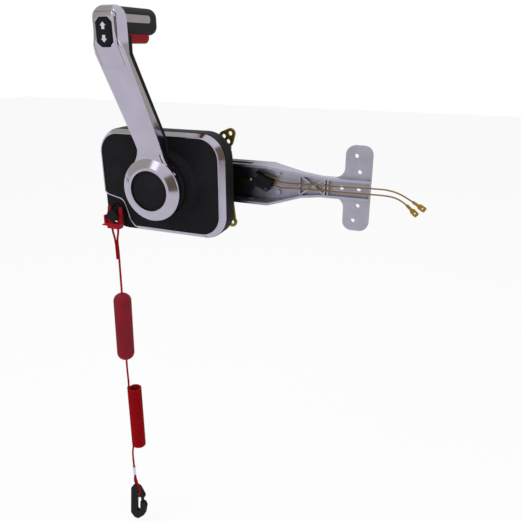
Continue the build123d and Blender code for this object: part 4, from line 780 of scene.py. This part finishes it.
def spline_length(piece):
    """Length of a cord's line, as its mesh without thickness gives it."""
    depth = piece.data.bevel_depth
    piece.data.bevel_depth = 0.0
    line = bpy.data.meshes.new_from_object(piece)
    total = 0.0
    for edge in line.edges:
        start, end = (line.vertices[index].co for index in edge.vertices)
        total += (start - end).length
    bpy.data.meshes.remove(line)
    piece.data.bevel_depth = depth
    return total


class LEVER_OT_lanyard(bpy.types.Operator):
    """Makes the lanyard: the cord with its curly stretch, its loops, the float and the ferrule"""

    bl_idname = "lever.lanyard"
    bl_label = "Lanyard"

    def execute(self, context):
        sizes = context.scene.lanyard_sizes
        points = lanyard_route + self.curls(sizes.curl / MM, sizes.turns) + hook_route
        cord = cord_curve("lanyard_cord", points, sizes.cord)
        length = spline_length(cord)
        loop = cord_curve("lanyard_loop", loop_route, sizes.cord)
        floater = self.floater(sizes.ribs)

        ferrule = lift("lanyard_ferrule", "lanyard_ferrule_band")
        round_edges(ferrule, 0.35 * MM, 2, 50)
        smooth(ferrule)
        settle(ferrule, "lanyard_ferrule", "bright_tin")

        for piece in (cord, loop):
            piece.data.materials.append(FINISHES["cord_red"])
            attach(piece, "kill_clip")
        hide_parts("lanyard_upper", "lanyard_coil", "lanyard_lower")
        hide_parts("lanyard_upper")
        hook = dress("snap_hook", "snap_hook_body", 0.8 * MM, 3)
        gate = dress("hook_gate", "snap_hook_gate", 0.4 * MM, 2)
        return {"FINISHED"}

    def curls(self, radius, turns):
        """The points of the curly stretch, which starts and ends at its left."""
        start = Vector(coil_top)
        run = Vector(coil_bottom) - start
        along = run.normalized()
        across = Vector((0, -1, 0))
        side = along.cross(across)
        points_per_turn = 14
        overrun = 0.6
        first = -overrun
        last = run.length + overrun
        points = []
        count = turns * points_per_turn
        for index in range(count + 1):
            share = index / count
            angle = 2 * pi * index / points_per_turn
            place = start + along * (first + share * (last - first))
            points.append(tuple(place + radius * (across * sin(angle) + side * cos(angle))))
        return points

    def floater(self, ribs):
        """A foam sausage with fine ribs and round ends, on the cord."""
        top = Vector((-72.07, -33.0, -154.2))
        bottom = Vector((-76.07, -33.0, -256.3))
        reach = (bottom - top).length
        down = (bottom - top).normalized()
        out = down.cross(Vector((0, 1, 0))).normalized()
        body_radius, end_round, bore = 11.75, 10.8, 1.75
        rib_height, rib_start, points_per_rib = 0.22, 1.0, 4
        samples = ribs * points_per_rib
        profile = [top + out * bore]
        for index in range(samples + 1):
            place = reach * index / samples
            near = min(place, reach - place)
            inward = min(end_round, max(0.0, end_round - near))
            shrink = end_round - sqrt(end_round**2 - inward**2)
            rib = rib_height * cos(2 * pi * index / points_per_rib) if near > rib_start else 0.0
            profile.append(top + down * place + out * (body_radius - shrink + rib))
        profile.append(bottom + out * bore)
        piece = turn(
            "lanyard_float_foam", [tuple(p * MM) for p in profile], tuple(top * MM), tuple(down), 40
        )
        smooth(piece, 60, weigh=False)
        return settle(piece, "lanyard_float")


class LEVER_OT_wires(bpy.types.Operator):
    """Makes the two wires of the neutral switch with their crimped blades"""

    bl_idname = "lever.wires"
    bl_label = "Switch wires"

    def execute(self, context):
        for name, route in (("upper", wire_upper_route), ("lower", wire_lower_route)):
            wire = cord_curve("switch_wire_" + name, route, wire_diameter)
            wire.data.materials.append(FINISHES["wire_gold"])
            length = spline_length(wire)
            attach(wire, "base")
            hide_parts("wire_" + name)
            blade = dress("terminal_" + name, "terminal_blade_" + name, 0.12 * MM, 2, finish="blade_gold")
        return {"FINISHED"}


class LEVER_OT_arm(bpy.types.Operator):
    """Makes the chromed lever arm, its head cap and the hub"""

    bl_idname = "lever.arm"
    bl_label = "Lever arm"

    def execute(self, context):
        look = context.scene.lever_look
        arm = self.casting("lever_arm_casting", look.edge / MM)
        shell = self.casting("head_cap_shell", look.edge / MM)
        for piece in (arm, shell):
            smooth(piece, 60, weigh=False)

        # The hollow for the lock rod, open at the arm's back, with a wall in front of it
        foot, top, front_wall, behind = 46.0, 150.0, 3.5, 3.0
        half = 9.0 * MM
        hollow = [
            (back_y(foot) + behind, foot), (front_y(foot) + front_wall, foot),
            (front_y(top) + front_wall, top), (head_back_y + behind, top),
            (head_back_y + behind, arm_back_end_z), (arm_back_y + behind, arm_back_start_z),
        ]
        cut(arm, plate("hollow", [(-half, y * MM, z * MM) for y, z in hollow], (2 * half, 0, 0)))
        # The seat of the cap, and the cap itself from the same casting, with a fine line between
        seat_gap, seat_in, cap_inset, cap_in = 0.3, 2.0, 0.1, 2.2
        cut(arm, self.cap_tool("seat", seat_gap, head_back_y - seat_in))
        cut(shell, self.cap_tool("keep", -cap_inset, head_back_y - cap_in), "INTERSECT")
        # The pocket of the trim pad, through both
        pocket_gap, pocket_depth = 0.9, 8.0
        for piece in (arm, shell):
            cut(piece, self.pad_tool("pocket", pocket_gap, pocket_depth))
        round_edges(shell, 0.25 * MM, 2, 50)
        for piece in (arm, shell):
            smooth(piece, 40)
        settle(arm, "lever_arm")
        settle(shell, "head_cap")

        # Hub: rim, cone, lip and the badge's seat, turned as one from points of radius and depth
        profile = [
            (8.05, -41.4), (30.4, -41.4), (31.2, -41.9), (36.6, -48.2), (37.0, -49.0), (37.1, -50.0),
            (37.1, -53.6), (36.8, -54.4), (36.2, -55.0), (27.6, -59.75), (26.9, -60.1), (26.1, -60.2),
            (24.3, -60.2), (23.8, -60.0), (23.6, -59.5), (23.6, -55.9), (8.5, -55.9), (8.5, -52.2),
            (8.05, -52.2), (8.05, -41.4),
        ]
        hub = turn("lever_hub", [(r * MM, y * MM, 0) for r, y in profile], (0, 0, 0), (0, 1, 0), 128)
        smooth(hub, 28)
        settle(hub, "lever_arm")
        return {"FINISHED"}

    def casting(self, name, edge):
        """The arm's closed outer form, grown ring by ring from its foot to its head."""
        heights = [
            20.0, 26.7, 29.0, 32.0, 35.5, 40.0, arm_front_start_z, 50.0, arm_back_start_z, 70.0, 90.0,
            110.0, 130.0, 142.0, arm_back_end_z, 153.0, 157.7, 163.0, 170.0, 177.0, 181.0, 184.0, 186.6,
            188.8, 190.6, 192.0, 192.9, 193.4,
        ]
        corner_steps = 5
        reference = 70.0
        wide = half_width(reference)
        near, far = front_y(reference), back_y(reference)
        middle = (near + far) / 2
        deep = (far - near) / 2
        back_edge = 1.2
        ring = []
        corners = (
            (wide - edge, near + edge, edge, -90), (wide - back_edge, far - back_edge, back_edge, 0),
            (back_edge - wide, far - back_edge, back_edge, 90), (edge - wide, near + edge, edge, 180),
        )
        for x, y, radius, begin in corners:
            for step in range(corner_steps + 1):
                angle = radians(begin + 90 * step / corner_steps)
                ring.append((x + radius * cos(angle), y + radius * sin(angle)))
        first = heights[0]
        scale_x = half_width(first) / wide
        scale_y = self.depth(first) / 2 / deep
        centre = self.centre(first)
        points = [(x * scale_x * MM, (centre + (y - middle) * scale_y) * MM, first * MM) for x, y in ring]
        piece = draw(name, points)
        bpy.ops.object.mode_set(mode="EDIT")
        bpy.ops.mesh.select_all(action="SELECT")
        for low, high in zip(heights, heights[1:]):
            rise = (0, (self.centre(high) - self.centre(low)) * MM, (high - low) * MM)
            bpy.ops.mesh.extrude_region_move(TRANSFORM_OT_translate={"value": rise})
            bpy.ops.transform.resize(
                value=(half_width(high) / half_width(low), self.depth(high) / self.depth(low), 1),
                center_override=(0, self.centre(high) * MM, high * MM),
            )
        face_out(piece)
        # The front of the head is drawn in, so that its edges are broad and soft
        draw_start, draw_reach, drawn, front_share = 150.0, 16.0, 0.22, 0.35
        for height in heights:
            draw_in = drawn * min(max((height - draw_start) / draw_reach, 0.0), 1.0)
            if draw_in == 0.0:
                continue
            near = front_y(height) + front_share * self.depth(height)
            hold(piece)
            bpy.ops.object.mode_set(mode="EDIT")
            bpy.ops.mesh.select_all(action="DESELECT")
            bpy.ops.object.mode_set(mode="OBJECT")
            for corner in piece.data.vertices:
                level = abs(corner.co.z - height * MM) < SAME_LEVEL
                corner.select = level and corner.co.y < near * MM
            bpy.ops.object.mode_set(mode="EDIT")
            bpy.ops.transform.resize(
                value=(1.0 - draw_in, 1, 1), center_override=(0, near * MM, height * MM)
            )
            bpy.ops.object.mode_set(mode="OBJECT")
        return piece

    def centre(self, z):
        """Middle of the arm's depth at height z."""
        return (back_y(z) + front_y(z)) / 2

    def depth(self, z):
        """The arm's depth at height z."""
        return back_y(z) - front_y(z)

    def cap_tool(self, name, grow, far):
        """A block with the head cap's outline."""
        half, foot, top, bulge = 13.4 + grow, 133.0 - grow, 187.0 + grow, 3.0
        steps = 6
        points = []
        for step in range(-steps, steps + 1):
            x = half * (step / steps)
            points.append((x, foot + bulge * (x / half) ** 2))
        corner = 4.0
        for centre_x, begin in ((half - corner, 0), (corner - half, 90)):
            for step in range(steps + 1):
                angle = radians(begin + 90 * step / steps)
                points.append((centre_x + corner * cos(angle), top - corner + corner * sin(angle)))
        return self.block(name, points, far)

    def pad_tool(self, name, grow, depth):
        """A block with the trim pad's eight-sided outline."""
        half_x, half_z, corner = 8.6 + grow, 12.6 + grow, 4.6
        points = []
        for sx, sz in ((1, -1), (1, 1), (-1, 1), (-1, -1)):
            first = (sx * (half_x - corner), pad_middle_z + sz * half_z)
            second = (sx * half_x, pad_middle_z + sz * (half_z - corner))
            points += [first, second] if sx * sz < 0 else [second, first]
        return self.block(name, points, head_front_y + depth)

    def block(self, name, points, far):
        """An outline in x and z, pushed from before the lever to the depth far."""
        near = before_lever_y
        return plate(name, [(x * MM, near * MM, z * MM) for x, z in points], (0, (far - near) * MM, 0))


class LEVER_OT_badge(bpy.types.Operator):
    """Makes the bare disc in the hub, the side screw and the lever bolt"""

    bl_idname = "lever.badge"
    bl_label = "Hub disc and screws"

    def execute(self, context):
        profile = [
            (0.0, -57.75), (12.0, -57.85), (19.0, -57.78), (20.4, -57.7), (20.7, -57.4), (21.3, -57.4),
            (21.6, -57.7), (22.8, -57.7), (23.3, -57.45), (23.4, -57.0), (23.4, -55.95), (0.0, -55.95),
        ]
        badge = turn("hub_disc", [(r * MM, y * MM, 0) for r, y in profile], (0, 0, 0), (0, 1, 0), 96)
        smooth(badge, 40)
        settle(badge, "hub_badge")
        dress("side_screw", "side_screw_head", 0.25 * MM, 2, finish="chrome")
        dress("lever_bolt", "lever_bolt_head", 0.3 * MM)
        return {"FINISHED"}


class LEVER_OT_grip(bpy.types.Operator):
    """Makes the grip, its chrome strips, the lock trigger, the arm's cover and the trim switch"""

    bl_idname = "lever.grip"
    bl_label = "Grip and trim switch"

    def execute(self, context):
        dress("grip_body", "grip_moulding", 0.6 * MM, 3, finish="grip_black")
        dress("grip_strip_left", "grip_band_left", 0.3 * MM)
        dress("grip_strip_right", "grip_band_right", 0.3 * MM)
        dress("lock_trigger", "lock_trigger_bar", 0.5 * MM, 3)
        dress("inner_cover", "arm_inner_cover", 0.35 * MM)
        dress("trim_switch_base", "trim_pocket_plate", 0.2 * MM)
        dress("trim_rocker", "trim_rocker_pad", 0.35 * MM, 3)
        for side, name in ((1, "up"), (-1, "down")):
            self.arrow("trim_arrow_" + name, side)
        paint("trim_pin")
        paint("lock_spring")
        paint("lock_rod")
        return {"FINISHED"}

    def arrow(self, name, side):
        """A pale arrow that stands a little proud of the trim pad."""
        foot, barb, tip, stem, head, proud = 2.6, 5.9, 9.2, 1.7, 3.4, 0.28
        outline = [
            (-stem, foot), (stem, foot), (stem, barb), (head, barb), (0, tip), (-head, barb), (-stem, barb),
        ]
        points = [(x * MM, pad_face_y * MM, (pad_middle_z + side * z) * MM) for x, z in outline]
        piece = plate(name, points, (0, -proud * MM, 0))
        round_edges(piece, 0.08 * MM, 2, 30)
        smooth(piece)
        piece.data.materials.append(FINISHES["arrow_print"])
        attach(piece, "trim_rocker")


class LEVER_OT_housing(bpy.types.Operator):
    """Makes the housing, its chrome trim, the face panel, the stop switch and its clip"""

    bl_idname = "lever.housing"
    bl_label = "Housing"

    def execute(self, context):
        dress("housing", "housing_shell", 0.5 * MM, 3)
        dress("panel_gasket", "panel_seal", 0.3 * MM)
        self.bead()
        dress("trim_frame", "chrome_trim", 0.35 * MM, 3)
        dress("face_panel", "face_plate", 0.5 * MM, 3)
        dress("lock_collar", "neutral_ring", 0.3 * MM, finish="black_plastic")
        dress("stop_switch_body", "stop_switch_shell", 0.4 * MM)
        dress("stop_switch_nut", "stop_switch_ring", 0.4 * MM)
        dress("stop_button", "stop_button_cap", 0.5 * MM, 3)
        dress("kill_clip", "stop_clip", 0.5 * MM, 3)
        return {"FINISHED"}

    def bead(self):
        """The bright bead along the trim's front edges, swept on those edges of the model."""
        edge_y, bead_radius = -23.6 * MM, 0.9 * MM
        bead = lift("trim_frame", "chrome_bead")
        bpy.ops.object.mode_set(mode="EDIT")
        bpy.ops.mesh.select_all(action="DESELECT")
        bpy.ops.mesh.select_mode(type="EDGE")
        bpy.ops.object.mode_set(mode="OBJECT")
        for edge in bead.data.edges:
            ends = [bead.data.vertices[index].co.y for index in edge.vertices]
            edge.select = not all(abs(end - edge_y) < SAME_LEVEL for end in ends)
        bpy.ops.object.mode_set(mode="EDIT")
        bpy.ops.mesh.delete(type="EDGE")
        bpy.ops.mesh.select_mode(type="VERT")
        bpy.ops.object.mode_set(mode="OBJECT")
        bpy.ops.object.convert(target="CURVE")
        bead = bpy.context.object
        bead.data.bevel_depth = bead_radius
        bead.data.bevel_resolution = 3
        bpy.ops.object.convert(target="MESH")
        bead = bpy.context.object
        face_out(bead)
        smooth(bead, 60, weigh=False)
        bead.data.materials.clear()
        bead.data.materials.append(FINISHES["chrome"])
        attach(bead, "base")


class LEVER_OT_mechanism(bpy.types.Operator):
    """Makes the cast bracket, the gears, the cable arms and the neutral switch"""

    bl_idname = "lever.mechanism"
    bl_label = "Bracket and gear train"

    def execute(self, context):
        dress("cable_bracket", "cast_bracket", 0.45 * MM, 2)
        dress("base_plate", "base_casting", 0.4 * MM, 2)
        for node in ("throttle_arm", "shift_arm"):
            dress(node, node + "_plate", 0.2 * MM)
        dress("pivot_pin", "pivot_pin_turned", 0.3 * MM, finish="dark_steel")
        dress("pivot_spacer", "pivot_washer", 0.2 * MM)
        dress("base_screws", "base_screw_set", 0.25 * MM)
        dress("switch_screws", "switch_screw_pair", 0.25 * MM, finish="dark_steel")
        dress("switch_plunger", "switch_plunger_pin", 0.2 * MM)
        dress("micro_switch", "neutral_switch_case", 0.3 * MM)
        for node in (
            "shaft_bush_front", "shaft_bush_rear", "main_shaft", "shaft_clip", "throttle_drive_gear",
            "shift_drive_gear",
        ):
            paint(node)
        return {"FINISHED"}


class LEVER_PT_panel(bpy.types.Panel):
    """Lists the lever's pieces and sizes"""

    bl_label = "Control lever"
    bl_idname = "LEVER_PT_panel"
    bl_space_type = "VIEW_3D"
    bl_region_type = "UI"
    bl_category = "Control lever"

    def draw(self, context):
        layout = self.layout
        scene = context.scene
        for group in (scene.lanyard_sizes, scene.lever_look, scene.housing_look):
            box = layout.box()
            for key in group.__annotations__:
                box.prop(group, key)
        for operator in STEPS:
            layout.operator(operator.bl_idname)


GROUPS = (LanyardSizes, LeverLook, HousingLook)
STEPS = (
    LEVER_OT_stage, LEVER_OT_finishes, LEVER_OT_lanyard, LEVER_OT_wires, LEVER_OT_arm, LEVER_OT_badge,
    LEVER_OT_grip, LEVER_OT_housing, LEVER_OT_mechanism,
)


def register():
    for item in GROUPS + STEPS + (LEVER_PT_panel,):
        bpy.utils.register_class(item)
    bpy.types.Scene.lanyard_sizes = bpy.props.PointerProperty(type=LanyardSizes)
    bpy.types.Scene.lever_look = bpy.props.PointerProperty(type=LeverLook)
    bpy.types.Scene.housing_look = bpy.props.PointerProperty(type=HousingLook)


def unregister():
    del bpy.types.Scene.lanyard_sizes
    del bpy.types.Scene.lever_look
    del bpy.types.Scene.housing_look
    for item in reversed(GROUPS + STEPS + (LEVER_PT_panel,)):
        bpy.utils.unregister_class(item)


def main():
    register()
    bpy.ops.lever.stage()
    bpy.ops.lever.finishes()
    bpy.ops.lever.lanyard()
    bpy.ops.lever.wires()
    bpy.ops.lever.arm()
    bpy.ops.lever.badge()
    bpy.ops.lever.grip()
    bpy.ops.lever.housing()
    bpy.ops.lever.mechanism()
    clear_hand()


if __name__ == "__main__":
    main()
